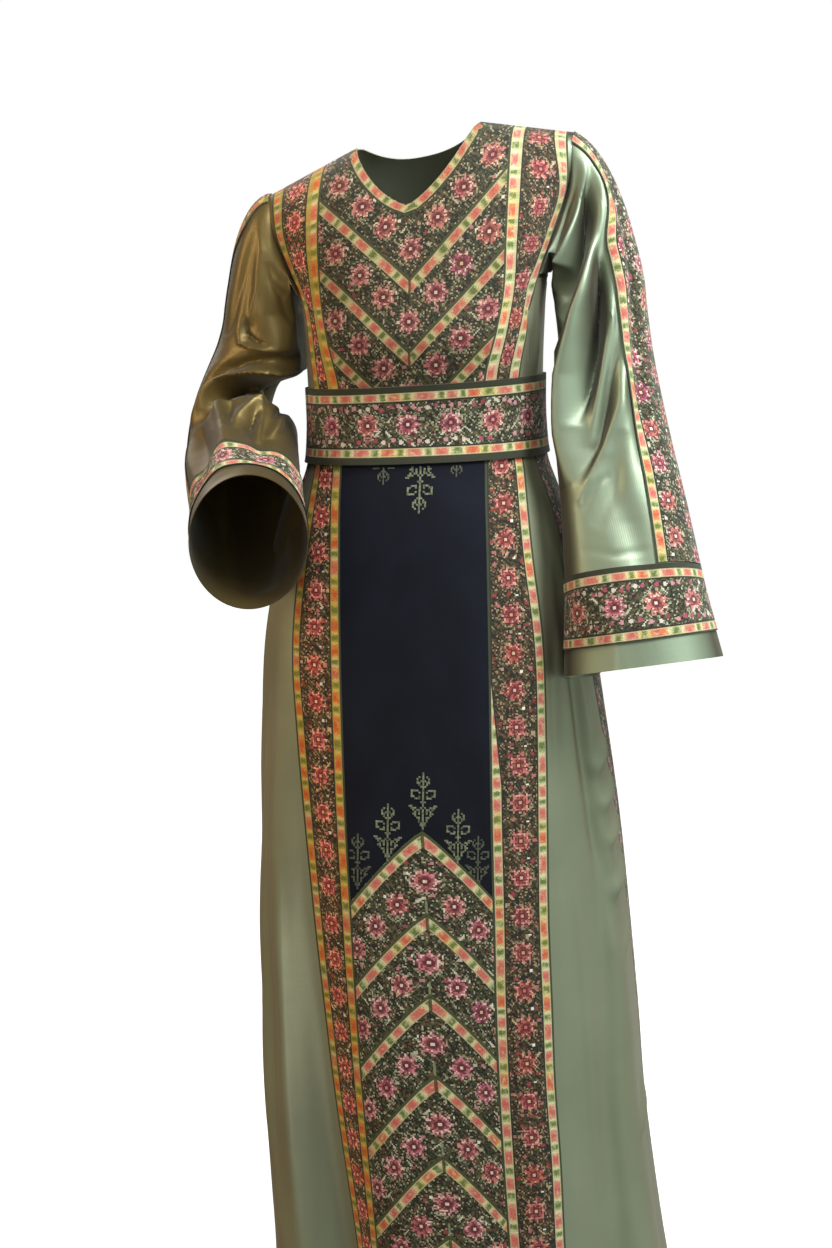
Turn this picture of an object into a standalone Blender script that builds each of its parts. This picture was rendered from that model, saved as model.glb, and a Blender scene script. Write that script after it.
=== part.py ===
"""Palestinian thobe dress in its worn, hollow form: satin, sewn-in embroidered panels, wide sleeves and a belt.

Metres, +Z up. The wearer faces -Y and the wearer's left is +X. The origin is at the base of the neck, where
the shoulders hold the dress up. A name that ends in _l is on the wearer's left, and one in _r on the right.
"""

import math
from collections import namedtuple

import bmesh
import bpy
import numpy as np

MM = 0.001

# Driving dimensions
HEM_Z = -1.42
ARMPIT_Z = -0.172
BELT_TOP_Z = -0.281
BELT_BOTTOM_Z = -0.373
WAIST_SEAM_Z = -0.335
SEAM_GAP = 0.3 * MM
SATIN_THICK = 1.3 * MM
EMBROIDERED_THICK = 1.8 * MM
BELT_THICK = 3.0 * MM
BELT_GAP = 1.2 * MM
BELT_LAP = 0.045
BELT_LAP_GAP = 0.6 * MM
BELT_START_DEG = 196.0
APPLIQUE_THICK = 1.0 * MM

# Neck and shoulders
NECK_HALF = 0.073
RIDGE_Z = 0.010
SHOULDER_SLOPE = 0.32
RIDGE_Y = 0.010
V_NECK_Z = -0.074
BACK_NECK_Z = -0.014
FRONT_NECK_CURVE = 2.4
FRONT_NECK_STRAIGHT = 0.46
BACK_NECK_CURVE = 2.4
YOKE_FULLNESS = 2.3
BODY_SQUARENESS = 2.3

# The point of the hem embroidery, and how steeply its sides fall away from that point
CHEVRON_POINT_X = 0.022
CHEVRON_POINT_Z = -0.796
CHEVRON_SLOPE = 0.98
CHEVRON_EDGES_X = (-0.068, 0.100)
CHEVRON_ROW_MARGIN = 0.031

# Half widths and depths of the body at each height, how far its middle sways from the centre plane,
# and how much the wearer's stance tilts it
BodyRow = namedtuple("BodyRow", "z centre_x half_width front_depth back_depth tilt_deg")
BODY = (
    BodyRow(-1.420, 0.062, 0.250, 0.215, 0.215, 0.0),
    BodyRow(-1.365, 0.057, 0.244, 0.211, 0.211, 0.0),
    BodyRow(-1.260, 0.046, 0.238, 0.205, 0.205, 0.0),
    BodyRow(-1.155, 0.036, 0.234, 0.199, 0.199, 0.0),
    BodyRow(-1.050, 0.030, 0.231, 0.193, 0.193, 0.0),
    BodyRow(-0.950, 0.023, 0.228, 0.187, 0.187, 0.0),
    BodyRow(-0.800, 0.015, 0.219, 0.176, 0.178, 0.0),
    BodyRow(-0.670, 0.007, 0.207, 0.164, 0.168, 0.0),
    BodyRow(-0.570, 0.002, 0.195, 0.153, 0.158, 0.5),
    BodyRow(-0.480, -0.001, 0.179, 0.138, 0.142, 1.5),
    BodyRow(-0.420, -0.002, 0.161, 0.124, 0.126, 2.2),
    BodyRow(-0.380, -0.002, 0.146, 0.111, 0.108, 2.7),
    BodyRow(-0.335, -0.003, 0.141, 0.105, 0.096, 3.2),
    BodyRow(-0.288, -0.004, 0.141, 0.110, 0.097, 3.7),
    BodyRow(-0.230, -0.005, 0.143, 0.123, 0.102, 4.4),
    BodyRow(-0.172, -0.006, 0.148, 0.118, 0.107, 5.6),
    BodyRow(-0.110, -0.008, 0.166, 0.112, 0.107, 8.6),
    BodyRow(-0.050, -0.010, 0.187, 0.108, 0.104, 11.0),
    BodyRow(0.000, -0.013, 0.202, 0.104, 0.100, 11.5),
)

# Where the front seams lie across the body: the outer edge and the inner edge of each long embroidered band
SeamRow = namedtuple("SeamRow", "z band_r panel_r panel_l band_l")
SEAMS = (
    SeamRow(-1.420, -0.060, -0.028, 0.132, 0.198),
    SeamRow(-1.292, -0.075, -0.037, 0.123, 0.188),
    SeamRow(-1.195, -0.090, -0.046, 0.115, 0.182),
    SeamRow(-1.098, -0.104, -0.055, 0.108, 0.174),
    SeamRow(-1.001, -0.115, -0.062, 0.103, 0.169),
    SeamRow(-0.906, -0.125, -0.068, 0.100, 0.164),
    SeamRow(-0.800, -0.135, -0.075, 0.096, 0.161),
    SeamRow(-0.700, -0.143, -0.080, 0.093, 0.158),
    SeamRow(-0.576, -0.149, -0.085, 0.089, 0.151),
    SeamRow(-0.483, -0.142, -0.088, 0.085, 0.137),
    SeamRow(-0.379, -0.130, -0.091, 0.079, 0.122),
    SeamRow(-0.335, -0.126, -0.090, 0.077, 0.114),
    SeamRow(-0.275, -0.132, -0.094, 0.078, 0.117),
    SeamRow(-0.229, -0.136, -0.105, 0.090, 0.125),
    SeamRow(-0.183, -0.143, -0.114, 0.098, 0.132),
    SeamRow(-0.125, -0.162, -0.118, 0.100, 0.150),
    SeamRow(-0.068, -0.178, -0.120, 0.101, 0.167),
    SeamRow(0.000, -0.188, -0.121, 0.100, 0.166),
)

# Round the side of the skirt: the angle from the front of each edge of the embroidered side panel
SideRow = namedtuple("SideRow", "z front_deg back_deg")
SIDE_PANELS = (
    SideRow(-1.42, 93.0, 113.0),
    SideRow(-1.15, 90.0, 112.0),
    SideRow(-0.95, 86.0, 109.0),
    SideRow(-0.75, 80.5, 106.0),
    SideRow(-0.57, 75.0, 104.0),
    SideRow(-0.46, 69.0, 104.0),
    SideRow(-0.335, 66.0, 104.0),
)

# The largest folds of the skirt: where each lies round the body, how far it stands out (or in, below zero)
# at the hem, and the height where it starts
FoldRow = namedtuple("FoldRow", "top_deg hem_deg width_deg push top_z")
SKIRT_FOLDS = (
    FoldRow(-42, -29, 12, -0.050, -0.62),
    FoldRow(-60, -55, 17, 0.012, -0.60),
    FoldRow(-90, -86, 14, -0.006, -0.75),
    FoldRow(28, 22, 10, 0.010, -0.70),
    FoldRow(52, 49, 9, -0.014, -0.50),
    FoldRow(70, 68, 9, 0.012, -0.65),
    FoldRow(112, 116, 12, -0.022, -0.60),
    FoldRow(136, 138, 12, 0.024, -0.45),
    FoldRow(160, 158, 11, -0.020, -0.50),
    FoldRow(182, 181, 12, 0.026, -0.42),
    FoldRow(203, 205, 11, -0.022, -0.50),
    FoldRow(226, 228, 12, 0.022, -0.45),
    FoldRow(250, 247, 12, -0.020, -0.60),
)

# Each sleeve from the armhole (0) to its hem (1): the middle of the section, its half sizes out to the side
# and to the front, and the direction that the front of the arm faces
SleeveRow = namedtuple("SleeveRow", "along x y z wide deep front_y front_z")
SLEEVE_L = (
    SleeveRow(0.00, 0.162, 0.002, -0.072, 0.080, 0.056, -1.0, 0.0),
    SleeveRow(0.12, 0.191, -0.002, -0.092, 0.070, 0.060, -1.0, 0.0),
    SleeveRow(0.25, 0.200, -0.008, -0.150, 0.056, 0.062, -1.0, 0.0),
    SleeveRow(0.40, 0.211, -0.014, -0.240, 0.055, 0.064, -1.0, 0.0),
    SleeveRow(0.56, 0.225, -0.032, -0.340, 0.063, 0.066, -1.0, 0.1),
    SleeveRow(0.72, 0.242, -0.062, -0.440, 0.073, 0.070, -1.0, 0.2),
    SleeveRow(0.86, 0.255, -0.086, -0.530, 0.083, 0.076, -1.0, 0.2),
    SleeveRow(1.00, 0.267, -0.098, -0.608, 0.094, 0.082, -1.0, 0.2),
)
SLEEVE_R = (
    SleeveRow(0.00, -0.180, 0.002, -0.106, 0.080, 0.056, -1.0, 0.0),
    SleeveRow(0.12, -0.198, 0.004, -0.132, 0.068, 0.062, -1.0, 0.0),
    SleeveRow(0.25, -0.200, 0.012, -0.183, 0.050, 0.064, -1.0, 0.0),
    SleeveRow(0.40, -0.206, 0.016, -0.252, 0.055, 0.066, -1.0, 0.1),
    SleeveRow(0.54, -0.225, 0.000, -0.324, 0.062, 0.070, -0.8, 0.6),
    SleeveRow(0.70, -0.214, -0.062, -0.386, 0.069, 0.074, -0.3, 0.95),
    SleeveRow(0.85, -0.196, -0.132, -0.427, 0.067, 0.082, -0.1, 1.0),
    SleeveRow(1.00, -0.182, -0.200, -0.458, 0.069, 0.090, 0.0, 1.0),
)
ARMHOLE_FRONT_END_DEG = 130.0
ARMHOLE_BACK_START_DEG = 230.0
SLEEVE_BLEND_END = 0.30
SLEEVE_BODY_GAP = 0.009
FIRST_BODY_GAP = 0.004
CLEAR_TOP_Z = -0.11
FIRST_RING_OUT = 0.005

# The largest folds of the sleeves, by the angle round the arm (0 outside, 90 front, 180 inside)
SleeveFold = namedtuple("SleeveFold", "start_deg end_deg start end width_deg push")
FOLDS_L = (
    SleeveFold(62, 112, 0.03, 0.66, 13, -0.014),
    SleeveFold(38, 84, 0.03, 0.74, 12, 0.009),
    SleeveFold(20, 60, 0.06, 0.66, 12, -0.008),
    SleeveFold(150, 128, 0.30, 0.95, 18, 0.008),
    SleeveFold(96, 66, 0.62, 0.93, 14, -0.006),
    SleeveFold(230, 250, 0.10, 0.85, 18, -0.010),
    SleeveFold(290, 285, 0.05, 0.80, 17, -0.010),
    SleeveFold(262, 268, 0.15, 0.95, 15, 0.008),
)
FOLDS_R = (
    SleeveFold(60, 84, 0.03, 0.40, 15, -0.007),
    SleeveFold(128, 110, 0.28, 0.47, 26, 0.012),
    SleeveFold(100, 70, 0.44, 0.60, 22, -0.022),
    SleeveFold(198, 192, 0.41, 0.591, 58, -0.049),
    SleeveFold(40, 34, 0.52, 0.95, 14, -0.008),
    SleeveFold(75, 62, 0.60, 0.98, 14, 0.008),
    SleeveFold(112, 100, 0.62, 0.95, 13, -0.009),
    SleeveFold(240, 262, 0.55, 0.95, 22, 0.010),
    SleeveFold(300, 305, 0.08, 0.70, 16, -0.010),
    SleeveFold(205, 215, 0.62, 0.98, 16, -0.008),
)

# Embroidered band down the outside of each sleeve, and the one round its cuff
SLEEVE_BAND_FIRST_COLUMN = {"l": -1, "r": -6}
SLEEVE_BAND_SPANS = 7
CUFF_TOP = 0.815
CUFF_BOTTOM = 0.945

# How finely the solids are cut
SHORTEST_ROW = 0.012
HEM_TO_BELT_LEVELS = 14
ARMPIT_TO_BELT_LEVELS = 4
YOKE_ARCS = 6
UNDER_ARM_SPANS = 8
BELT_COLUMNS = 57


def table_value(rows, key, column, at):
    """A smooth curve through one named column of a table, read at one place or at an array of places."""
    knots = np.array([getattr(row, key) for row in rows], float)
    values = np.array([getattr(row, column) for row in rows], float)
    slopes = np.gradient(values, knots)
    at = np.clip(np.asarray(at, float), knots[0], knots[-1])
    i = np.clip(np.searchsorted(knots, at) - 1, 0, len(knots) - 2)
    span = knots[i + 1] - knots[i]
    s = (at - knots[i]) / span
    start = (1 + 2 * s) * (1 - s) ** 2 * values[i] + s * (1 - s) ** 2 * span * slopes[i]
    end = s * s * (3 - 2 * s) * values[i + 1] + s * s * (s - 1) * span * slopes[i + 1]
    return start + end


def smooth_step(low, high, at):
    """0 below low, 1 above high, and a soft ramp between them."""
    s = np.clip((np.asarray(at, float) - low) / (high - low), 0, 1)
    return s * s * (3 - 2 * s)


def wrapped(degrees):
    """An angle difference brought to the range from -180 to 180 degrees."""
    return (degrees + 180.0) % 360.0 - 180.0


def height_of(level):
    """Level -1 is the hem, 0 the armpit, 1 the neckline or the shoulder seam; this is the nominal height."""
    level = np.asarray(level, float)
    below = ARMPIT_Z + level * (ARMPIT_Z - HEM_Z)
    above = ARMPIT_Z * (1 - level)
    return np.where(level < 0, below, above)


def level_of(z):
    """The level of a height below the armpit."""
    return (np.asarray(z, float) - ARMPIT_Z) / (ARMPIT_Z - HEM_Z)


def ridge_height(side):
    """Height of the shoulder ridge at a distance from the middle of the body."""
    return RIDGE_Z - SHOULDER_SLOPE * np.maximum(np.abs(side) - NECK_HALF, 0)


def top_height(side, back):
    """Height of a panel's top edge: the neckline near the middle, then the shoulder ridge."""
    share = np.clip(np.abs(side) / NECK_HALF, 0, 1)
    curve = FRONT_NECK_STRAIGHT * share + (1 - FRONT_NECK_STRAIGHT) * share**FRONT_NECK_CURVE
    front_edge = V_NECK_Z + (RIDGE_Z - V_NECK_Z) * curve
    back_edge = BACK_NECK_Z + (RIDGE_Z - BACK_NECK_Z) * share**BACK_NECK_CURVE
    return np.where(np.abs(side) < NECK_HALF, np.where(back, back_edge, front_edge), ridge_height(side))


def skirt_push(angle, z):
    """How far the folds move the skirt out at an angle round the body and a height."""
    degrees = np.degrees(angle)
    total = np.zeros(np.broadcast(degrees, z).shape)
    for fold in SKIRT_FOLDS:
        drop = np.clip((fold.top_z - z) / (fold.top_z - HEM_Z), 0, 1)
        middle = fold.top_deg + (fold.hem_deg - fold.top_deg) * drop
        across = wrapped(degrees - middle) / fold.width_deg
        total = total + fold.push * drop**1.1 * np.exp(-across * across)
    return total


def garment_point(angle, level):
    """A point of the body's outer surface. The angle goes from the front (0) round to the wearer's left (90)."""
    angle, level = np.broadcast_arrays(np.asarray(angle, float), np.asarray(level, float))
    z = height_of(level)
    half = table_value(BODY, "z", "half_width", z)
    front = table_value(BODY, "z", "front_depth", z)
    back = table_value(BODY, "z", "back_depth", z)
    centre = table_value(BODY, "z", "centre_x", z)
    tilt = np.radians(table_value(BODY, "z", "tilt_deg", z))
    power = 2 / BODY_SQUARENESS
    sine, cosine = np.sin(angle), np.cos(angle)
    behind = cosine < 0
    side = half * np.sign(sine) * np.abs(sine) ** power
    depth = -np.where(behind, back, front) * np.sign(cosine) * np.abs(cosine) ** power
    push = skirt_push(angle, z)
    sideways = sine * np.abs(sine) ** 2
    length = np.sqrt(sideways**2 + cosine**2)
    side = side + push * sideways / length
    depth = depth - push * cosine / length
    above = level > 0
    yoke_z = ARMPIT_Z + level * (top_height(side, behind) - ARMPIT_Z)
    rise = np.clip((yoke_z - ARMPIT_Z) / (ridge_height(side) - ARMPIT_Z), 0, 1)
    arch = (1 - rise**YOKE_FULLNESS) ** (1 / YOKE_FULLNESS)
    depth = np.where(above, RIDGE_Y + (depth - RIDGE_Y) * arch, depth)
    z = np.where(above, yoke_z, z)
    return np.stack([centre + side, depth, z + side * np.tan(tilt)], axis=-1)


def seam_angle(column, level):
    """The angle at which a front seam crosses a level."""
    z = height_of(level)
    x = table_value(SEAMS, "z", column, z) - table_value(BODY, "z", "centre_x", z)
    share = np.clip(np.abs(x) / table_value(BODY, "z", "half_width", z), 0, 1)
    return np.sign(x) * np.arcsin(share ** (BODY_SQUARENESS / 2))


def side_angle(column, side, level):
    """The angle of an edge of the embroidered side panel, negative on the wearer's right."""
    angle = np.radians(table_value(SIDE_PANELS, "z", column, height_of(level)))
    return angle if side == "l" else -angle


def unit(vectors):
    """Vectors made one metre long."""
    return vectors / np.maximum(np.linalg.norm(vectors, axis=-1, keepdims=True), 1e-12)


def body_normal(angle, level):
    """The outward direction of the body's surface. At the very top it is read just below the edge."""
    step = 1e-4
    inside = np.minimum(level, 1 - 30 * step)
    across = garment_point(angle + step, inside) - garment_point(angle - step, inside)
    up = garment_point(angle, inside + step) - garment_point(angle, inside - step)
    normal = unit(np.cross(across, up))
    from_ridge = np.abs(garment_point(angle, level)[..., 1] - RIDGE_Y)
    normal[..., 1] *= np.where(np.asarray(level) > 0.5, smooth_step(0.0, 0.02, from_ridge), 1.0)
    return unit(normal)


def wall_object(name, outer, inner, material, closed):
    """A closed solid between two grids of points. A closed grid's last column meets its first."""
    rows, columns = outer.shape[:2]
    bm = bmesh.new()
    skins = [[[bm.verts.new(point) for point in row] for row in grid] for grid in (outer, inner)]
    out, back = skins
    spans = columns if closed else columns - 1
    for r in range(rows - 1):
        for c in range(spans):
            n = (c + 1) % columns
            bm.faces.new((out[r][c], out[r][n], out[r + 1][n]))
            bm.faces.new((out[r][c], out[r + 1][n], out[r + 1][c]))
            bm.faces.new((back[r][n], back[r][c], back[r + 1][n]))
            bm.faces.new((back[r + 1][n], back[r][c], back[r + 1][c]))
    for c in range(spans):
        n = (c + 1) % columns
        bm.faces.new((out[0][n], out[0][c], back[0][c], back[0][n]))
        bm.faces.new((out[-1][c], out[-1][n], back[-1][n], back[-1][c]))
    if not closed:
        for r in range(rows - 1):
            bm.faces.new((out[r][0], out[r + 1][0], back[r + 1][0], back[r][0]))
            bm.faces.new((out[r + 1][-1], out[r][-1], back[r][-1], back[r + 1][-1]))
    bmesh.ops.recalc_face_normals(bm, faces=bm.faces)
    mesh = bpy.data.meshes.new(name)
    bm.to_mesh(mesh)
    bm.free()
    mesh.materials.append(material)
    mesh.shade_smooth()
    mesh.set_sharp_from_angle(angle=math.radians(50))
    made = bpy.data.objects.new(name, mesh)
    bpy.context.scene.collection.objects.link(made)
    return made


def belt_heights():
    """The rows of the belt, which the body's panels share, with the waist seam in the middle."""
    halves = ((BELT_BOTTOM_Z + WAIST_SEAM_Z) / 2, WAIST_SEAM_Z, (WAIST_SEAM_Z + BELT_TOP_Z) / 2)
    return np.array([BELT_BOTTOM_Z, *halves, BELT_TOP_Z])


def body_levels(low_z, high_z):
    """The rows that body panels share between two heights below the armpit, so that their seams match."""
    skirt = np.linspace(HEM_Z, BELT_BOTTOM_Z, HEM_TO_BELT_LEVELS)
    bodice = np.linspace(BELT_TOP_Z, ARMPIT_Z, ARMPIT_TO_BELT_LEVELS)
    shared = np.concatenate([skirt, belt_heights()[1:-1], bodice])
    inside = [z for z in shared if low_z + SHORTEST_ROW < z < high_z - SHORTEST_ROW]
    return level_of(np.array([low_z, *inside, high_z]))


def yoke_levels():
    """The rows from the armpit to the shoulder, even round the shoulder's curve."""
    turn = np.linspace(0, math.pi / 2, YOKE_ARCS + 1)[1:]
    return np.sin(turn) ** (2 / YOKE_FULLNESS)


def body_panel(name, left, right, levels, shares, thickness, material):
    """A panel of the body between two seam angles. levels has a row of places for each row of points."""
    shares = np.asarray(shares, float)
    if np.ndim(levels) == 1:
        levels = np.repeat(np.asarray(levels)[:, None], len(shares), axis=1)
    low, high = left(levels), right(levels)
    radius = np.linalg.norm(garment_point(low, levels)[..., :2], axis=-1)
    trim = SEAM_GAP / 2 / np.maximum(radius, 0.1) * 1.15
    angle = (low + trim) + (high - low - 2 * trim) * shares[None, :]
    outer = garment_point(angle, levels)
    inner = outer - thickness * body_normal(angle, levels)
    shoulder_seam = np.where(levels > 0.999, SEAM_GAP / 2, 0.0) * np.sign(np.cos(angle))
    outer[..., 1] -= shoulder_seam
    inner[..., 1] -= shoulder_seam
    return wall_object(name, outer, inner, material, closed=False)


def chevron_height(shares):
    """Height of the hem embroidery's pointed top edge across the front panel."""
    across = np.interp(shares, (0, 1), CHEVRON_EDGES_X)
    return CHEVRON_POINT_Z - CHEVRON_SLOPE * np.abs(across - CHEVRON_POINT_X)


def front_panels(embroidered, navy):
    """The chest panel, the plain front of the skirt and the pointed embroidery above the hem."""
    inner_r = lambda level: seam_angle("panel_r", level)
    inner_l = lambda level: seam_angle("panel_l", level)
    neck_corners = (0.165, 0.835)
    shares = [0, 0.08, neck_corners[0], 0.28, 0.39, 0.5, 0.61, 0.72, neck_corners[1], 0.92, 1]
    chest = np.concatenate([body_levels(WAIST_SEAM_Z + SEAM_GAP / 2, ARMPIT_Z), yoke_levels()])
    body_panel("chest_panel", inner_r, inner_l, chest, shares, EMBROIDERED_THICK, embroidered)
    point = np.interp(CHEVRON_POINT_X, CHEVRON_EDGES_X, (0, 1))
    shares = np.concatenate([np.linspace(0, point, 4), np.linspace(point, 1, 4)[1:]])
    point_edge = chevron_height(shares)
    plain = body_levels(CHEVRON_POINT_Z + CHEVRON_ROW_MARGIN, WAIST_SEAM_Z - SEAM_GAP / 2)
    plain = np.repeat(plain[:, None], len(shares), axis=1)
    rows = np.vstack([level_of(point_edge + SEAM_GAP)[None, :], plain])
    body_panel("skirt_front", inner_r, inner_l, rows, shares, SATIN_THICK, navy)
    low = body_levels(HEM_Z, point_edge.min() - CHEVRON_ROW_MARGIN)
    low = np.repeat(low[:, None], len(shares), axis=1)
    rows = np.vstack([low, level_of(point_edge)[None, :]])
    body_panel("hem_panel", inner_r, inner_l, rows, shares, EMBROIDERED_THICK, embroidered)


def side_pieces(embroidered, satin):
    """The long bands, the satin under the arms, the skirt's gores and its embroidered side panels."""
    quarter = [0, 0.25, 0.5, 0.75, 1]
    whole = np.concatenate([body_levels(HEM_Z, ARMPIT_Z), yoke_levels()])
    skirt = body_levels(HEM_Z, WAIST_SEAM_Z - SEAM_GAP / 2)
    bodice = body_levels(WAIST_SEAM_Z + SEAM_GAP / 2, ARMPIT_Z)
    band_l = lambda level: seam_angle("band_l", level)
    band_r = lambda level: seam_angle("band_r", level)
    panel_l = lambda level: seam_angle("panel_l", level)
    panel_r = lambda level: seam_angle("panel_r", level)
    body_panel("front_band_l", panel_l, band_l, whole, quarter, EMBROIDERED_THICK, embroidered)
    body_panel("front_band_r", band_r, panel_r, whole, quarter, EMBROIDERED_THICK, embroidered)
    side_l = lambda level: np.full(np.shape(level), math.pi / 2)
    side_r = lambda level: np.full(np.shape(level), -math.pi / 2)
    body_panel("bodice_side_l", band_l, side_l, bodice, quarter, SATIN_THICK, satin)
    body_panel("bodice_side_r", side_r, band_r, bodice, quarter, SATIN_THICK, satin)
    fifths = np.linspace(0, 1, 7)
    for side, seam in (("l", band_l), ("r", band_r)):
        front = lambda level, side=side: side_angle("front_deg", side, level)
        back = lambda level, side=side: side_angle("back_deg", side, level)
        gore = (seam, front) if side == "l" else (front, seam)
        panel = (front, back) if side == "l" else (back, front)
        body_panel(f"skirt_gore_{side}", *gore, skirt, fifths, SATIN_THICK, satin)
        body_panel(f"side_panel_{side}", *panel, skirt, quarter, EMBROIDERED_THICK, embroidered)


def armhole_back_angle(side, level):
    """The back edge of the armhole, which lies opposite the band's outer edge."""
    angle = seam_angle(f"band_{side}", level)
    turned = math.pi - np.abs(angle)
    return turned if side == "l" else -turned


def back_pieces(satin):
    """The bodice's back up to the shoulders, and the skirt's back between the side panels."""
    shares = np.linspace(0, 1, 13)
    skirt = body_levels(HEM_Z, WAIST_SEAM_Z - SEAM_GAP / 2)
    skirt_l = lambda level: side_angle("back_deg", "l", level)
    skirt_r = lambda level: side_angle("back_deg", "r", level) + 2 * math.pi
    body_panel("skirt_back", skirt_l, skirt_r, skirt, np.linspace(0, 1, 17), SATIN_THICK, satin)
    bodice = np.concatenate([body_levels(WAIST_SEAM_Z + SEAM_GAP / 2, ARMPIT_Z), yoke_levels()])

    def edge(side, level):
        seam = armhole_back_angle(side, level)
        straight = math.pi / 2 if side == "l" else -math.pi / 2
        share = smooth_step(-0.004, 0.0, level)
        return straight + (seam - straight) * share

    bodice_l = lambda level: edge("l", level)
    bodice_r = lambda level: edge("r", level) + 2 * math.pi
    body_panel("bodice_back", bodice_l, bodice_r, bodice, shares, SATIN_THICK, satin)


def belt_piece(embroidered):
    """The belt, a strip wrapped once round the waist whose end laps over its start at the back."""
    levels = level_of(belt_heights())
    start, turn = math.radians(BELT_START_DEG), 2 * math.pi
    lap = BELT_LAP / float(table_value(BODY, "z", "back_depth", WAIST_SEAM_Z))
    angle = start + np.linspace(0, turn + lap, BELT_COLUMNS)
    lift = (BELT_THICK + BELT_LAP_GAP) * smooth_step(start + turn - 0.9 * lap, start + turn - 0.1 * lap, angle)
    angle, levels = np.meshgrid(angle, levels)
    lift = np.broadcast_to(lift, angle.shape)[..., None]
    normal = body_normal(angle, levels)
    skin = garment_point(angle, levels)
    inner = skin + (BELT_GAP + lift) * normal
    outer = inner + BELT_THICK * normal
    return wall_object("belt", outer, inner, embroidered, closed=False)


def under_arm_degrees():
    """Angles round the armhole between the ends of the front's and the back's edges, under the arm."""
    return np.linspace(ARMHOLE_FRONT_END_DEG, ARMHOLE_BACK_START_DEG, UNDER_ARM_SPANS + 1)[1:-1]


def armhole_edge(side, degrees):
    """Outer point, inner point and the direction away from the body's edge, at an angle round the armhole.

    The edge is made of the straight pieces between the body's own rows, so that the sleeve follows them.
    """
    levels = np.concatenate([yoke_levels()[::-1], [0.0]])
    front_deg = np.linspace(0, ARMHOLE_FRONT_END_DEG, len(levels))
    back_deg = 360 - front_deg
    front = seam_angle(f"band_{side}", levels)
    back = armhole_back_angle(side, levels)
    under_deg = under_arm_degrees()
    under = np.interp(under_deg, (ARMHOLE_FRONT_END_DEG, ARMHOLE_BACK_START_DEG), (front[-1], back[-1]))
    knots = np.concatenate([front_deg, under_deg, back_deg[::-1]])
    angle = np.concatenate([front, under, back[::-1]])
    level = np.concatenate([levels, np.zeros(len(under)), levels[::-1]])
    outer = garment_point(angle, level)
    normal = body_normal(angle, level)
    step = 1e-4
    sign = np.sign(front[0])
    below = np.minimum(level, 1 - 30 * step)
    sideways = sign * unit(garment_point(angle + step, below) - garment_point(angle - step, below))
    sideways = np.where((knots > 180)[:, None], -sideways, sideways)
    from_outside = 180 - np.abs(knots - 180)
    share = smooth_step(ARMHOLE_FRONT_END_DEG - 12, ARMHOLE_FRONT_END_DEG + 6, from_outside)[:, None]
    away = unit(sideways * (1 - share) + np.array([0, 0, 1.0]) * share)
    read = lambda values: np.stack([np.interp(degrees, knots, values[:, k]) for k in range(3)], axis=-1)
    return read(outer), read(outer - SATIN_THICK * normal), unit(read(away))


def keep_clear(points, gap):
    """Points moved out until they stand clear of the body by a gap."""
    low_z = np.minimum(points[..., 2], CLEAR_TOP_Z)
    centre = table_value(BODY, "z", "centre_x", low_z)
    tilt = np.radians(table_value(BODY, "z", "tilt_deg", low_z))
    side = points[..., 0] - centre
    z = low_z - side * np.tan(tilt)
    half = table_value(BODY, "z", "half_width", z) + gap
    front = table_value(BODY, "z", "front_depth", z)
    back = table_value(BODY, "z", "back_depth", z)
    deep = np.where(points[..., 1] < 0, front, back) + gap
    size = (np.abs(side / half) ** BODY_SQUARENESS + np.abs(points[..., 1] / deep) ** BODY_SQUARENESS)
    size = np.maximum(size, 1e-9) ** (1 / BODY_SQUARENESS)
    needed = smooth_step(CLEAR_TOP_Z + 0.03, CLEAR_TOP_Z, points[..., 2])
    grow = np.where(size < 1, 1 + (1 / size - 1) * needed, 1.0)
    moved = points.copy()
    moved[..., 0] = centre + side * grow
    moved[..., 1] = points[..., 1] * grow
    return moved


def sleeve_push(folds, degrees, along):
    """How far the folds move a sleeve's wall out."""
    total = np.zeros(np.broadcast(degrees, along).shape)
    for fold in folds:
        share = (along - fold.start) / (fold.end - fold.start)
        middle = fold.start_deg + (fold.end_deg - fold.start_deg) * np.clip(share, 0, 1)
        across = wrapped(degrees - middle) / fold.width_deg
        window = np.sin(np.pi * np.clip(share, 0, 1)) ** 0.8
        total = total + fold.push * window * np.exp(-across * across)
    return total


def sleeve_section(side, degrees, along):
    """A point of a sleeve's round form, before it is joined to the armhole."""
    rows = SLEEVE_L if side == "l" else SLEEVE_R
    folds = FOLDS_L if side == "l" else FOLDS_R
    read = lambda column, at: table_value(rows, "along", column, at)
    middle = np.stack([read(axis, along) for axis in "xyz"], axis=-1)
    step = 0.01
    ahead = np.stack([read(axis, np.minimum(along + step, 1)) for axis in "xyz"], axis=-1)
    behind = np.stack([read(axis, np.maximum(along - step, 0)) for axis in "xyz"], axis=-1)
    path = unit(ahead - behind)
    facing = np.stack([np.zeros(np.shape(along)), read("front_y", along), read("front_z", along)], axis=-1)
    out = unit(np.cross(facing, path) if side == "l" else np.cross(path, facing))
    front = unit(np.cross(path, out) if side == "l" else np.cross(out, path))
    turn = np.radians(degrees)
    push = sleeve_push(folds, degrees, along)
    wide = (read("wide", along) + push) * np.cos(turn)
    deep = (read("deep", along) + push) * np.sin(turn)
    return middle + wide[..., None] * out + deep[..., None] * front


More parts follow.
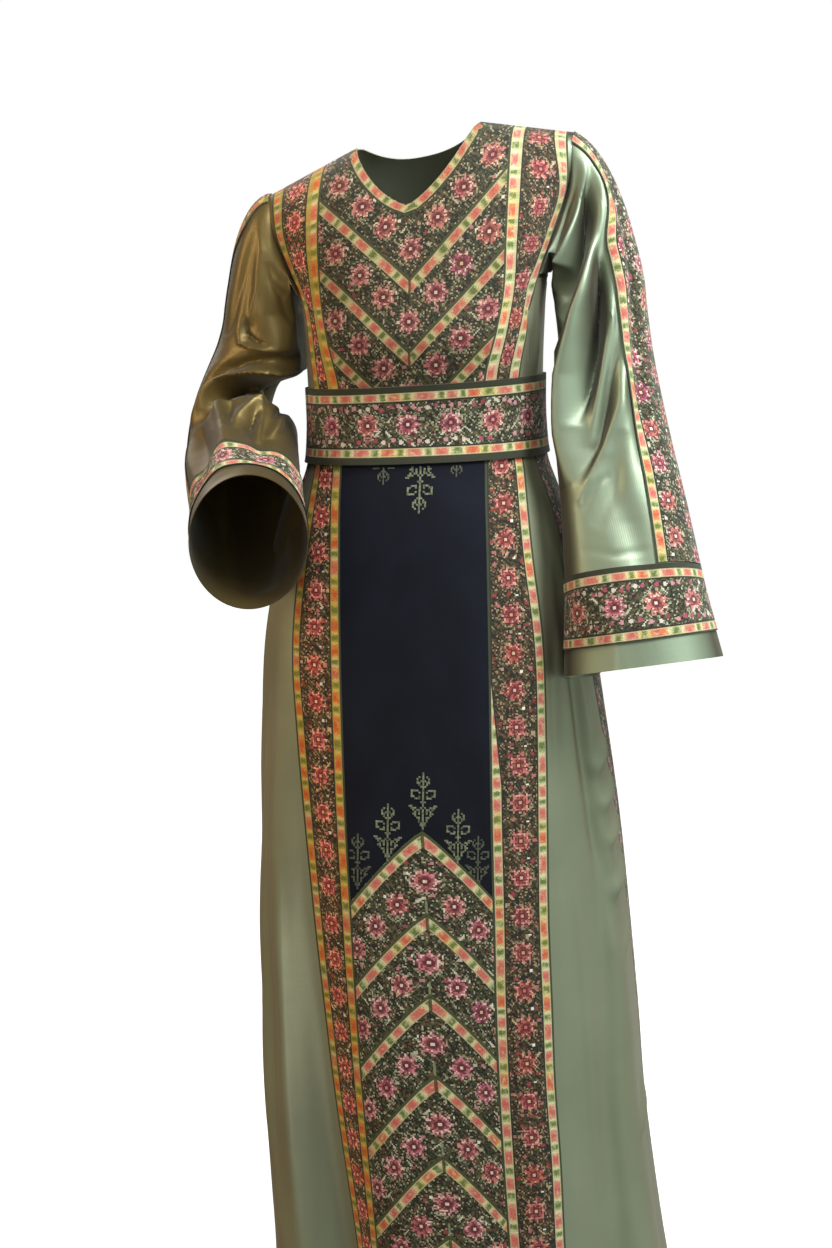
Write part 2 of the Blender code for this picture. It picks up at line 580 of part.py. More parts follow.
def sleeve_point(side, degrees, along):
    """A point of a sleeve's outer surface. The angle goes round from outside (0) to the front (90)."""
    degrees, along = np.broadcast_arrays(np.asarray(degrees, float), np.asarray(along, float))
    edge, _, away = armhole_edge(side, degrees % 360.0)
    round_form = sleeve_section(side, degrees, along)
    start = edge + FIRST_RING_OUT * away
    share = smooth_step(0.0, SLEEVE_BLEND_END, along)[..., None]
    points = start * (1 - share) + round_form * share
    first_gap = FIRST_BODY_GAP * smooth_step(0.0, 0.035, along)
    gap = first_gap + (SLEEVE_BODY_GAP - FIRST_BODY_GAP) * smooth_step(0.05, 0.2, along)
    return keep_clear(points, gap)


def tube_normals(points):
    """The outward direction at each point of a grid whose rows go down a tube and whose columns go round it."""
    around = np.roll(points, -1, axis=1) - np.roll(points, 1, axis=1)
    down = np.gradient(points, axis=0)
    return unit(np.cross(down, around))


def sleeve_columns(side):
    """Angles round a sleeve, two for each row of the body's edge, that start at the embroidered band's edge."""
    front = np.linspace(0, ARMHOLE_FRONT_END_DEG, 2 * YOKE_ARCS + 1)
    around = np.concatenate([front, under_arm_degrees(), 360 - front[:0:-1]])
    return np.roll(around, -SLEEVE_BAND_FIRST_COLUMN[side])


def sleeve_rows():
    """Places along a sleeve, with the cuff band's two edges among them."""
    upper = np.linspace(0.0, CUFF_TOP, 13)[1:]
    return np.concatenate([[0.025], upper, [0.88, CUFF_BOTTOM, 1.0]])


def sleeve_pieces(side, satin, embroidered):
    """A sleeve, the band down its outside and the band round its cuff, which lie on it."""
    columns, rows = sleeve_columns(side), sleeve_rows()
    degrees, along = np.meshgrid(columns, rows)
    edge, edge_inner, away = armhole_edge(side, columns % 360.0)
    rings = np.concatenate([(edge + SEAM_GAP * away)[None], sleeve_point(side, degrees, along)])
    normal = tube_normals(rings) * (-1 if side == "l" else 1)
    inner = rings - SATIN_THICK * normal
    inner[0] = edge_inner + SEAM_GAP * away
    under_arm = smooth_step(CLEAR_TOP_Z + 0.03, CLEAR_TOP_Z, edge[:, 2:])
    inner[1] += (rings[1] + edge_inner - edge - inner[1]) * under_arm
    wall_object(f"sleeve_{side}", rings, inner, satin, closed=True)
    outer, normal = rings[1:], normal[1:]
    lift = SEAM_GAP * normal
    top_row = int(np.searchsorted(rows, CUFF_TOP - 1e-6))
    end_row = int(np.searchsorted(rows, CUFF_BOTTOM - 1e-6))
    band = slice(0, SLEEVE_BAND_SPANS + 1)
    on_top = outer + lift
    band_grid = on_top[: top_row + 1, band].copy()
    band_grid[-1] += (band_grid[-2] - band_grid[-1]) * 0.02
    thick = APPLIQUE_THICK * normal
    band_top = band_grid + thick[: top_row + 1, band]
    wall_object(f"sleeve_band_{side}", band_top, band_grid, embroidered, closed=False)
    cuff = slice(top_row, end_row + 1)
    wall_object(f"cuff_{side}", on_top[cuff] + thick[cuff], on_top[cuff], embroidered, closed=True)


def plain_material(name, colour, roughness):
    """A material with a colour and a roughness."""
    material = bpy.data.materials.new(name)
    material.use_nodes = True
    shader = material.node_tree.nodes["Principled BSDF"]
    shader.inputs["Base Color"].default_value = (*colour, 1.0)
    shader.inputs["Roughness"].default_value = roughness
    shader.inputs["Metallic"].default_value = 0.0
    return material


def main():
    for old in list(bpy.data.objects):
        bpy.data.objects.remove(old)
    satin = plain_material("satin", (0.27, 0.31, 0.22), 0.35)
    navy = plain_material("navy_cloth", (0.012, 0.014, 0.030), 0.7)
    embroidered = plain_material("embroidery", (0.16, 0.09, 0.07), 0.85)
    front_panels(embroidered, navy)
    side_pieces(embroidered, satin)
    back_pieces(satin)
    belt_piece(embroidered)
    for side in "lr":
        sleeve_pieces(side, satin, embroidered)


main()
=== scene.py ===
# %% [markdown]
# # A Palestinian thobe, from its frame to its stitches
#
# The frame holds the dress as plain solids at their real size. This lesson puts the looks on it: satin that folds
# and shines, panels of dense cross-stitch, ribbon edgings, a navy centre with stitched trees, and an embroidered
# belt. Every piece is a thin sheet that follows the same surface as the solid it stands for.

# %% Load the frame
import math
from collections import namedtuple

import bpy
import numpy as np
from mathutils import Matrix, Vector


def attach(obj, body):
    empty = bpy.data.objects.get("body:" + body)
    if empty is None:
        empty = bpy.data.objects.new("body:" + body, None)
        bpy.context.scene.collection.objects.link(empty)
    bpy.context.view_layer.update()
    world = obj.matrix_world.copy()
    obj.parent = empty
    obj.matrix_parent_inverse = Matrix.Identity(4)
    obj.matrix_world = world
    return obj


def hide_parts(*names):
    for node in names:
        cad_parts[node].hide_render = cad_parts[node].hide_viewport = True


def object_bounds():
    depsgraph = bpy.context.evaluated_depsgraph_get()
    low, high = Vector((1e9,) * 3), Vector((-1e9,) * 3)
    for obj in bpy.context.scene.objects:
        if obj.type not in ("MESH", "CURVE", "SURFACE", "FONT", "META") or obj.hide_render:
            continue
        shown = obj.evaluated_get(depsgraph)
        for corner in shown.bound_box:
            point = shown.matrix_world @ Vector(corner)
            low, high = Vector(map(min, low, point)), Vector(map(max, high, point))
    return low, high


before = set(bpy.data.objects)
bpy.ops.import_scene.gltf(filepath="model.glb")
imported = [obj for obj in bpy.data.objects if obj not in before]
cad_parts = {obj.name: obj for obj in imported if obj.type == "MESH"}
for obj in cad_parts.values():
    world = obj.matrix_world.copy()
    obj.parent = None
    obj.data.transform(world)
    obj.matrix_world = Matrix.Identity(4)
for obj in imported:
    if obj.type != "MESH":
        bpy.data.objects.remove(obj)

CAD_LOW, CAD_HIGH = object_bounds()
for kept in list(bpy.context.selected_objects):
    kept.select_set(False)
print("frame holds", len(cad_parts), "nodes")

# %% [markdown]
# ## Camera
#
# The photograph was taken from a little to the wearer's left and from chest height, looking down a few degrees. A
# long lens at about three metres keeps the skirt from spreading, so the camera here stands the same way.

# %% Camera
CAMERA_AZIMUTH = math.radians(8.0)
CAMERA_DISTANCE = 3.2
CAMERA_HEIGHT = -0.10
AIM_HEIGHT = -0.578
SIDE_STEP = -0.0157
FRAME_HEIGHT = 1248
FOCAL_PIXELS = 2652.0
SENSOR = 36.0


def place_camera():
    """The camera at the photograph's viewing angle."""
    data = bpy.data.cameras.new("camera")
    data.sensor_fit = "VERTICAL"
    data.sensor_height = SENSOR
    data.lens = FOCAL_PIXELS / FRAME_HEIGHT * SENSOR
    camera = bpy.data.objects.new("camera", data)
    bpy.context.scene.collection.objects.link(camera)
    sideways = Vector((math.cos(CAMERA_AZIMUTH), math.sin(CAMERA_AZIMUTH), 0)) * SIDE_STEP
    away = Vector((math.sin(CAMERA_AZIMUTH), -math.cos(CAMERA_AZIMUTH), 0)) * CAMERA_DISTANCE
    camera.location = away + sideways + Vector((0, 0, CAMERA_HEIGHT))
    aim = sideways + Vector((0, 0, AIM_HEIGHT))
    camera.rotation_euler = (aim - camera.location).to_track_quat("-Z", "Y").to_euler()
    bpy.context.scene.camera = camera
    return camera


camera = place_camera()
print("lens", round(camera.data.lens, 1), "mm")

# %% [markdown]
# ## Floor and light
#
# Satin shows only what it reflects, so the lights are large and soft. A cool white light on the wearer's left gives
# the pale mint sheen, and a weaker warm light on the right gives the brown one; the satin adds painted warm shade to
# it. The floor is plain and pale.

# %% Floor and lights
FLOOR_Z = CAD_LOW[2] - 0.004
AreaLight = namedtuple("AreaLight", "name azimuth elevation distance size power colour")


def table(kind, *rows):
    """Rows of values whose columns have the names of their kind."""
    return tuple(kind(*row) for row in rows)


LIGHT_AIM = Vector((0, 0, -0.6))
WORLD_STRENGTH = 0.90
SIDE_TINTS = (
    (0.0, (0.46, 0.32, 0.16)),
    (0.16, (0.20, 0.155, 0.085)),
    (0.40, (0.075, 0.069, 0.053)),
    (0.60, (0.22, 0.235, 0.21)),
    (1.0, (1.10, 1.32, 1.20)),
)
HEIGHT_TINTS = ((0.0, (0.30, 0.26, 0.20)), (0.45, (0.80, 0.78, 0.74)), (1.0, (1.45, 1.45, 1.45)))
LIGHTS = table(
    AreaLight,
    ("window_left", 60, 50, 2.05, (0.45, 1.2), 44, (0.94, 1.0, 0.94)),
    ("front_soft", 12, 54, 2.7, (1.1, 0.7), 19, (1.0, 0.98, 0.93)),
    ("warm_right", -72, 24, 2.3, (0.35, 1.3), 15, (1.0, 0.80, 0.50)),
    ("low_right", -24, -6, 2.6, (1.0, 0.8), 12, (1.0, 0.92, 0.78)),
    ("back_left", 150, 35, 3.0, (1.4, 1.6), 15, (1.0, 1.0, 1.0)),
    ("back_right", -140, 30, 3.0, (1.4, 1.6), 15, (1.0, 0.95, 0.86)),
)


def place_light(light):
    """A soft rectangular light that looks at the middle of the dress."""
    data = bpy.data.lights.new(light.name, "AREA")
    data.shape = "RECTANGLE"
    data.size, data.size_y = light.size
    data.energy = light.power
    data.color = light.colour
    lamp = bpy.data.objects.new(light.name, data)
    bpy.context.scene.collection.objects.link(lamp)
    azimuth, elevation = math.radians(light.azimuth), math.radians(light.elevation)
    flat = math.cos(elevation) * light.distance
    height = math.sin(elevation) * light.distance
    lamp.location = LIGHT_AIM + Vector((math.sin(azimuth) * flat, -math.cos(azimuth) * flat, height))
    lamp.rotation_euler = (LIGHT_AIM - lamp.location).to_track_quat("-Z", "Y").to_euler()


def plain_world(strength):
    """A weak light from all round, cool on the wearer's left and warm on the right. The backdrop itself is white."""
    world = bpy.data.worlds.new("studio")
    world.use_nodes = True
    tree = world.node_tree
    around = tree.nodes["Background"]
    around.inputs["Strength"].default_value = strength
    place = tree.nodes.new("ShaderNodeTexCoord")
    sides = tree.nodes.new("ShaderNodeSeparateXYZ")
    tree.links.new(place.outputs["Generated"], sides.inputs[0])
    ramps = []
    for axis, stops in (("X", SIDE_TINTS), ("Z", HEIGHT_TINTS)):
        spread = tree.nodes.new("ShaderNodeMapRange")
        spread.inputs["From Min"].default_value = -1.0
        tree.links.new(sides.outputs[axis], spread.inputs["Value"])
        tint = tree.nodes.new("ShaderNodeValToRGB")
        marks = tint.color_ramp.elements
        while len(marks) < len(stops):
            marks.new(0.5)
        for mark, (position, colour) in zip(marks, stops):
            mark.position, mark.color = position, (*colour, 1)
        tree.links.new(spread.outputs[0], tint.inputs[0])
        ramps.append(tint.outputs[0])
    both = tree.nodes.new("ShaderNodeMix")
    both.data_type = "RGBA"
    both.blend_type = "MULTIPLY"
    both.inputs[0].default_value = 1.0
    tree.links.new(ramps[0], both.inputs[6])
    tree.links.new(ramps[1], both.inputs[7])
    tree.links.new(both.outputs[2], around.inputs["Color"])
    backdrop = tree.nodes.new("ShaderNodeBackground")
    backdrop.inputs["Color"].default_value = (1.0, 1.0, 1.0, 1.0)
    path = tree.nodes.new("ShaderNodeLightPath")
    choice = tree.nodes.new("ShaderNodeMixShader")
    tree.links.new(path.outputs["Is Camera Ray"], choice.inputs[0])
    tree.links.new(around.outputs[0], choice.inputs[1])
    tree.links.new(backdrop.outputs[0], choice.inputs[2])
    tree.links.new(choice.outputs[0], tree.nodes["World Output"].inputs["Surface"])
    bpy.context.scene.world = world


def pale_floor():
    """A wide pale floor just under the hem."""
    bpy.ops.mesh.primitive_plane_add(size=14, location=(0, 0, FLOOR_Z))
    floor = bpy.context.object
    floor.name = "floor"
    material = bpy.data.materials.new("floor_white")
    material.use_nodes = True
    shader = material.node_tree.nodes["Principled BSDF"]
    shader.inputs["Base Color"].default_value = (0.62, 0.62, 0.62, 1)
    shader.inputs["Roughness"].default_value = 0.8
    shader.inputs["Emission Color"].default_value = (1.0, 1.0, 1.0, 1)
    shader.inputs["Emission Strength"].default_value = 0.80
    floor.data.materials.append(material)
    floor.visible_diffuse = False
    floor.visible_glossy = False


for light in LIGHTS:
    place_light(light)
plain_world(WORLD_STRENGTH)
pale_floor()
bpy.context.scene.view_settings.view_transform = "Standard"
print("lights", len(LIGHTS))

# %% [markdown]
# ## The form of the body
#
# A maker's block gives the width, the depth and the height of each level. The same tables as in the frame's source
# give this dress its surface, so each sheet lies on the solid that it stands for. One function turns an angle round
# the body and a level into a point.

# %% Sizes of the body
MM = 0.001
HEM_Z = -1.42
ARMPIT_Z = -0.172
BELT_TOP_Z = -0.281
BELT_BOTTOM_Z = -0.373
WAIST_SEAM_Z = -0.335
SEAM_GAP = 0.02 * MM  # 0.3 mm in the solids; here it is nearly shut, so that no light shows through
SATIN_THICK = 1.0 * MM
STITCHED_THICK = 1.5 * MM
BELT_THICK = 2.6 * MM
BELT_GAP = 1.2 * MM
NECK_HALF = 0.073
RIDGE_Z = 0.010
SHOULDER_SLOPE = 0.32
RIDGE_Y = 0.010
V_NECK_Z = -0.074
BACK_NECK_Z = -0.014
FRONT_NECK_CURVE = 2.4
FRONT_NECK_STRAIGHT = 0.46
BACK_NECK_CURVE = 2.4
YOKE_FULLNESS = 2.3
BODY_SQUARENESS = 2.3
CHEVRON_POINT_X = 0.022
CHEVRON_POINT_Z = -0.796
CHEVRON_SLOPE = 0.98
CHEVRON_EDGES_X = (-0.068, 0.100)

BodyRow = namedtuple("BodyRow", "z centre_x half_width front_depth back_depth tilt_deg")
BODY = table(
    BodyRow,
    (-1.420, 0.062, 0.250, 0.215, 0.215, 0.0),
    (-1.365, 0.057, 0.244, 0.211, 0.211, 0.0),
    (-1.260, 0.046, 0.238, 0.205, 0.205, 0.0),
    (-1.155, 0.036, 0.234, 0.199, 0.199, 0.0),
    (-1.050, 0.030, 0.231, 0.193, 0.193, 0.0),
    (-0.950, 0.023, 0.228, 0.187, 0.187, 0.0),
    (-0.800, 0.015, 0.219, 0.176, 0.178, 0.0),
    (-0.670, 0.007, 0.207, 0.164, 0.168, 0.0),
    (-0.570, 0.002, 0.195, 0.153, 0.158, 0.5),
    (-0.480, -0.001, 0.179, 0.138, 0.142, 1.5),
    (-0.420, -0.002, 0.161, 0.124, 0.126, 2.2),
    (-0.380, -0.002, 0.146, 0.111, 0.108, 2.7),
    (-0.335, -0.003, 0.141, 0.105, 0.096, 3.2),
    (-0.288, -0.004, 0.141, 0.110, 0.097, 3.7),
    (-0.230, -0.005, 0.143, 0.123, 0.102, 4.4),
    (-0.172, -0.006, 0.148, 0.118, 0.107, 5.6),
    (-0.110, -0.008, 0.166, 0.112, 0.107, 8.6),
    (-0.050, -0.010, 0.187, 0.108, 0.104, 11.0),
    (0.000, -0.013, 0.202, 0.104, 0.100, 11.5),
)

SeamRow = namedtuple("SeamRow", "z band_r panel_r panel_l band_l")
SEAMS = table(
    SeamRow,
    (-1.420, -0.060, -0.028, 0.132, 0.198),
    (-1.292, -0.075, -0.037, 0.123, 0.188),
    (-1.195, -0.090, -0.046, 0.115, 0.182),
    (-1.098, -0.104, -0.055, 0.108, 0.174),
    (-1.001, -0.115, -0.062, 0.103, 0.169),
    (-0.906, -0.125, -0.068, 0.100, 0.164),
    (-0.800, -0.135, -0.075, 0.096, 0.161),
    (-0.700, -0.143, -0.080, 0.093, 0.158),
    (-0.576, -0.149, -0.085, 0.089, 0.151),
    (-0.483, -0.142, -0.088, 0.085, 0.137),
    (-0.379, -0.130, -0.091, 0.079, 0.122),
    (-0.335, -0.126, -0.090, 0.077, 0.114),
    (-0.275, -0.132, -0.094, 0.078, 0.117),
    (-0.229, -0.136, -0.105, 0.090, 0.125),
    (-0.183, -0.143, -0.114, 0.098, 0.132),
    (-0.125, -0.162, -0.118, 0.100, 0.150),
    (-0.068, -0.178, -0.120, 0.101, 0.167),
    (0.000, -0.188, -0.121, 0.100, 0.166),
)

SideRow = namedtuple("SideRow", "z front_deg back_deg")
SIDE_PANELS = table(
    SideRow,
    (-1.42, 93.0, 113.0),
    (-1.15, 90.0, 112.0),
    (-0.95, 86.0, 109.0),
    (-0.75, 80.5, 106.0),
    (-0.57, 75.0, 104.0),
    (-0.46, 69.0, 104.0),
    (-0.335, 66.0, 104.0),
)

FoldRow = namedtuple("FoldRow", "top_deg hem_deg width_deg push top_z")
SKIRT_FOLDS = table(
    FoldRow,
    (-42, -29, 12, -0.050, -0.62),
    (-60, -55, 17, 0.012, -0.60),
    (-90, -86, 14, -0.006, -0.75),
    (28, 22, 10, 0.010, -0.70),
    (52, 49, 9, -0.014, -0.50),
    (70, 68, 9, 0.012, -0.65),
    (112, 116, 12, -0.022, -0.60),
    (136, 138, 12, 0.024, -0.45),
    (160, 158, 11, -0.020, -0.50),
    (182, 181, 12, 0.026, -0.42),
    (203, 205, 11, -0.022, -0.50),
    (226, 228, 12, 0.022, -0.45),
    (250, 247, 12, -0.020, -0.60),
)
print("body levels", len(BODY), "skirt folds", len(SKIRT_FOLDS))

# %% [markdown]
# ## Small creases
#
# The big folds are in the frame. Cloth also has small ones: puckers where a seam pulls, soft pulls above the belt
# and shallow waves along a gore. A crease is one long soft trough or ridge with its own place, length, slant, width
# and depth, so that no two are alike. A drape is one too, but it follows a bent line from point to point.

# %% Creases of the body
Crease = namedtuple("Crease", "deg z half_length slant width push")
BODY_CREASES = table(
    Crease,
    # the gore on the wearer's left, down to the hem
    (62, -0.70, 0.120, 0.10, 0.016, -0.0040),
    (66, -1.05, 0.200, 0.06, 0.020, 0.0035),
    (58, -1.20, 0.180, 0.02, 0.018, -0.0035),
    (50, -0.62, 0.120, 0.16, 0.012, -0.0050),
    (56, -0.52, 0.070, 0.25, 0.010, 0.0030),
    # the gore on the wearer's right
    (-62, -0.90, 0.200, 0.05, 0.018, 0.0040),
    (-74, -0.80, 0.160, 0.10, 0.016, -0.0040),
    (-70, -1.15, 0.220, 0.03, 0.020, 0.0030),
    (-80, -0.62, 0.100, 0.15, 0.014, 0.0035),
    # under the arms and the bodice
    (72, -0.235, 0.050, 0.35, 0.010, -0.0025),
    (-70, -0.240, 0.050, -0.30, 0.010, -0.0025),
    # the navy front hangs in two barely seen waves
    (-8, -0.60, 0.180, 0.05, 0.022, -0.0018),
    (18, -0.66, 0.220, -0.04, 0.024, 0.0018),
    # the back: pulls above the belt and waves below it
    (165, -0.24, 0.060, 0.20, 0.013, -0.0040),
    (186, -0.25, 0.055, -0.10, 0.012, 0.0035),
    (205, -0.235, 0.060, -0.25, 0.013, -0.0040),
    (150, -0.45, 0.060, 0.10, 0.010, 0.0030),
    (172, -0.46, 0.070, 0.03, 0.010, -0.0035),
    (192, -0.46, 0.070, -0.03, 0.010, 0.0030),
    (214, -0.45, 0.060, -0.10, 0.010, -0.0035),
    (142, -0.10, 0.070, 0.60, 0.014, -0.0035),
    (222, -0.10, 0.070, -0.60, 0.014, -0.0035),
    (128, -0.85, 0.150, 0.05, 0.016, 0.0040),
    (170, -0.95, 0.200, -0.03, 0.018, -0.0040),
    (215, -0.90, 0.180, -0.04, 0.016, 0.0040),
    (240, -1.05, 0.200, -0.02, 0.018, -0.0035),
)
Drape = namedtuple("Drape", "path width push")
BODY_DRAPES = table(
    Drape,
    # puckers beside the side panel on the wearer's left, under the cuff
    (((64, -0.742), (73, -0.724), (81, -0.704)), 0.0090, 0.0080),
    (((66, -0.786), (75, -0.770), (82, -0.750)), 0.0085, 0.0080),
    (((68, -0.830), (76, -0.816), (83, -0.798)), 0.0080, 0.0070),
    (((66, -0.892), (76, -0.872), (84, -0.848)), 0.0100, 0.0080),
    (((60, -0.780), (66, -0.860), (70, -0.960)), 0.0120, -0.0040),
    (((72, -0.965), (78, -0.945), (84, -0.915)), 0.0100, 0.0050),
    (((73, -1.190), (80, -1.165), (86, -1.130)), 0.0090, 0.0065),
    # long soft folds of the same gore, from the belt to the hem
    (((57, -0.42), (60, -0.60), (62, -0.80), (60, -1.10)), 0.0120, -0.0045),
    (((64, -0.46), (66, -0.62), (68, -0.72)), 0.0090, 0.0045),
    (((50, -0.80), (50, -1.05), (49, -1.38)), 0.0120, 0.0040),
    (((66, -0.95), (66, -1.15), (64, -1.40)), 0.0150, -0.0050),
    # the gore on the wearer's right
    (((-74, -0.50), (-76, -0.75), (-72, -1.05)), 0.0120, 0.0035),
    (((-62, -0.60), (-62, -0.90), (-58, -1.30)), 0.0120, -0.0070),
    (((-54, -0.84), (-51, -1.10), (-48, -1.36)), 0.0090, 0.0055),
    (((-68, -1.02), (-64, -1.18), (-56, -1.36)), 0.0110, 0.0040),
    # the bodice under the arm and beside the band
    (((62, -0.16), (66, -0.22), (70, -0.27)), 0.0070, -0.0040),
    (((74, -0.18), (76, -0.24), (76, -0.28)), 0.0060, 0.0035),
    # the back
    (((150, -0.12), (162, -0.20), (170, -0.27)), 0.0110, -0.0055),
    (((212, -0.11), (200, -0.19), (190, -0.27)), 0.0110, -0.0055),
    (((156, -0.39), (158, -0.55), (160, -0.80)), 0.0110, 0.0060),
    (((196, -0.39), (197, -0.60), (200, -0.90)), 0.0120, -0.0060),
)
print("small creases on the body", len(BODY_CREASES) + len(BODY_DRAPES))

# %% The body's surface


def table_value(rows, key, column, at):
    """A smooth curve through one named column of a table, read at one place or at an array of places."""
    knots = np.array([getattr(row, key) for row in rows], float)
    values = np.array([getattr(row, column) for row in rows], float)
    slopes = np.gradient(values, knots)
    at = np.clip(np.asarray(at, float), knots[0], knots[-1])
    i = np.clip(np.searchsorted(knots, at) - 1, 0, len(knots) - 2)
    span = knots[i + 1] - knots[i]
    s = (at - knots[i]) / span
    start = (1 + 2 * s) * (1 - s) ** 2 * values[i] + s * (1 - s) ** 2 * span * slopes[i]
    end = s * s * (3 - 2 * s) * values[i + 1] + s * s * (s - 1) * span * slopes[i + 1]
    return start + end


def smooth_step(low, high, at):
    """0 below low, 1 above high, and a soft ramp between them."""
    s = np.clip((np.asarray(at, float) - low) / (high - low), 0, 1)
    return s * s * (3 - 2 * s)


def wrapped(degrees):
    """An angle difference brought to the range from -180 to 180 degrees."""
    return (degrees + 180.0) % 360.0 - 180.0


def unit(vectors):
    """Vectors made one metre long."""
    return vectors / np.maximum(np.linalg.norm(vectors, axis=-1, keepdims=True), 1e-12)


def height_of(level):
    """Level -1 is the hem, 0 the armpit, 1 the neckline or the shoulder seam; this is the nominal height."""
    level = np.asarray(level, float)
    below = ARMPIT_Z + level * (ARMPIT_Z - HEM_Z)
    above = ARMPIT_Z * (1 - level)
    return np.where(level < 0, below, above)


def level_of(z):
    """The level of a height below the armpit."""
    return (np.asarray(z, float) - ARMPIT_Z) / (ARMPIT_Z - HEM_Z)


def ridge_height(side):
    """Height of the shoulder ridge at a distance from the middle of the body."""
    return RIDGE_Z - SHOULDER_SLOPE * np.maximum(np.abs(side) - NECK_HALF, 0)


def top_height(side, back):
    """Height of a panel's top edge: the neckline near the middle, then the shoulder ridge."""
    share = np.clip(np.abs(side) / NECK_HALF, 0, 1)
    curve = FRONT_NECK_STRAIGHT * share + (1 - FRONT_NECK_STRAIGHT) * share**FRONT_NECK_CURVE
    front_edge = V_NECK_Z + (RIDGE_Z - V_NECK_Z) * curve
    back_edge = BACK_NECK_Z + (RIDGE_Z - BACK_NECK_Z) * share**BACK_NECK_CURVE
    return np.where(np.abs(side) < NECK_HALF, np.where(back, back_edge, front_edge), ridge_height(side))


def drape_push(drapes, degrees, place, radius, length):
    """The push of ridges and troughs that follow bent lines, from the nearest point of each line."""
    total = np.zeros(np.broadcast(degrees, place).shape)
    for drape in drapes:
        knots = np.array(drape.path, float)
        middle = knots[:, 0].mean()
        x = np.radians(wrapped(degrees - middle) + middle) * radius
        y = place * length
        knots = np.stack([np.radians(knots[:, 0]) * radius, knots[:, 1] * length], -1)
        parts = np.diff(knots, axis=0)
        lengths = np.hypot(parts[:, 0], parts[:, 1])
        best, where, run = np.full(total.shape, 1e9), np.zeros(total.shape), 0.0
        for start, part, size in zip(knots[:-1], parts, lengths):
            share = np.clip(((x - start[0]) * part[0] + (y - start[1]) * part[1]) / size**2, 0, 1)
            apart = np.hypot(x - start[0] - share * part[0], y - start[1] - share * part[1])
            nearer = apart < best
            best = np.where(nearer, apart, best)
            where = np.where(nearer, (run + share * size) / lengths.sum(), where)
            run += size
        window = np.sin(np.pi * np.clip(where, 0, 1)) ** 0.7
        total = total + drape.push * window * np.exp(-((best / drape.width) ** 1.8))
    return total


def body_push(angle, z):
    """How far the folds and the small creases move the cloth out at an angle and a height."""
    degrees = np.degrees(angle)
    total = np.zeros(np.broadcast(degrees, z).shape)
    for fold in SKIRT_FOLDS:
        drop = np.clip((fold.top_z - z) / (fold.top_z - HEM_Z), 0, 1)
        middle = fold.top_deg + (fold.hem_deg - fold.top_deg) * drop
        across = wrapped(degrees - middle) / fold.width_deg
        total = total + fold.push * drop**1.1 * np.exp(-across * across)
    radius = table_value(BODY, "z", "half_width", z)
    for crease in BODY_CREASES:
        along = (z - crease.z) / crease.half_length
        sideways = np.radians(wrapped(degrees - crease.deg)) * radius - crease.slant * (z - crease.z)
        total = total + crease.push * np.exp(-((sideways / crease.width) ** 2) - along**2)
    return total + drape_push(BODY_DRAPES, degrees, z, 0.2, 1.0)


def garment_point(angle, level):
    """A point of the body's outer surface. The angle goes round from the front (0) to the wearer's left (90)."""
    angle, level = np.broadcast_arrays(np.asarray(angle, float), np.asarray(level, float))
    z = height_of(level)
    half = table_value(BODY, "z", "half_width", z)
    front = table_value(BODY, "z", "front_depth", z)
    back = table_value(BODY, "z", "back_depth", z)
    centre = table_value(BODY, "z", "centre_x", z)
    tilt = np.radians(table_value(BODY, "z", "tilt_deg", z))
    power = 2 / BODY_SQUARENESS
    sine, cosine = np.sin(angle), np.cos(angle)
    behind = cosine < 0
    side = half * np.sign(sine) * np.abs(sine) ** power
    depth = -np.where(behind, back, front) * np.sign(cosine) * np.abs(cosine) ** power
    push = body_push(angle, z)
    sideways = sine * np.abs(sine) ** 2
    length = np.sqrt(sideways**2 + cosine**2)
    side = side + push * sideways / length
    depth = depth - push * cosine / length
    above = level > 0
    yoke_z = ARMPIT_Z + level * (top_height(side, behind) - ARMPIT_Z)
    rise = np.clip((yoke_z - ARMPIT_Z) / (ridge_height(side) - ARMPIT_Z), 0, 1)
    arch = (1 - rise**YOKE_FULLNESS) ** (1 / YOKE_FULLNESS)
    depth = np.where(above, RIDGE_Y + (depth - RIDGE_Y) * arch, depth)
    z = np.where(above, yoke_z, z)
    return np.stack([centre + side, depth, z + side * np.tan(tilt)], axis=-1)


def seam_angle(column, level):
    """The angle at which a front seam crosses a level."""
    z = height_of(level)
    x = table_value(SEAMS, "z", column, z) - table_value(BODY, "z", "centre_x", z)
    share = np.clip(np.abs(x) / table_value(BODY, "z", "half_width", z), 0, 1)
    return np.sign(x) * np.arcsin(share ** (BODY_SQUARENESS / 2))


def side_angle(column, side, level):
    """The angle of an edge of the embroidered side panel, negative on the wearer's right."""
    angle = np.radians(table_value(SIDE_PANELS, "z", column, height_of(level)))
    return angle if side == "l" else -angle


def body_normal(angle, level):
    """The outward direction of the body's surface. At the very top it is read just below the edge."""
    step = 1e-4
    inside = np.minimum(level, 1 - 30 * step)
    across = garment_point(angle + step, inside) - garment_point(angle - step, inside)
    up = garment_point(angle, inside + step) - garment_point(angle, inside - step)
    normal = unit(np.cross(across, up))
    from_ridge = np.abs(garment_point(angle, level)[..., 1] - RIDGE_Y)
    normal[..., 1] *= np.where(np.asarray(level) > 0.5, smooth_step(0.0, 0.02, from_ridge), 1.0)
    return unit(normal)


print("armpit", garment_point(math.pi / 2, 0.0).round(3))

# %% [markdown]
# ## Cloth sheets
#
# A sheet starts as a flat grid, as cloth does, and a function lays each of its points on the body. Two UV maps go
# with it, both in real metres: "weave" measures across and along the cloth, so stitches keep one size, and "edges"
# measures the way to the left and to the right edge, so ribbon edgings follow a seam that curves. Solidify gives
# the cloth its thickness on the inside.

# %% Sheets from grids


def uv_layer(mesh, name, values):
    """A UV map with one value for each corner."""
    layer = mesh.uv_layers.get(name) or mesh.uv_layers.new(name=name)
    layer.data.foreach_set("uv", np.asarray(values, np.float32).ravel())


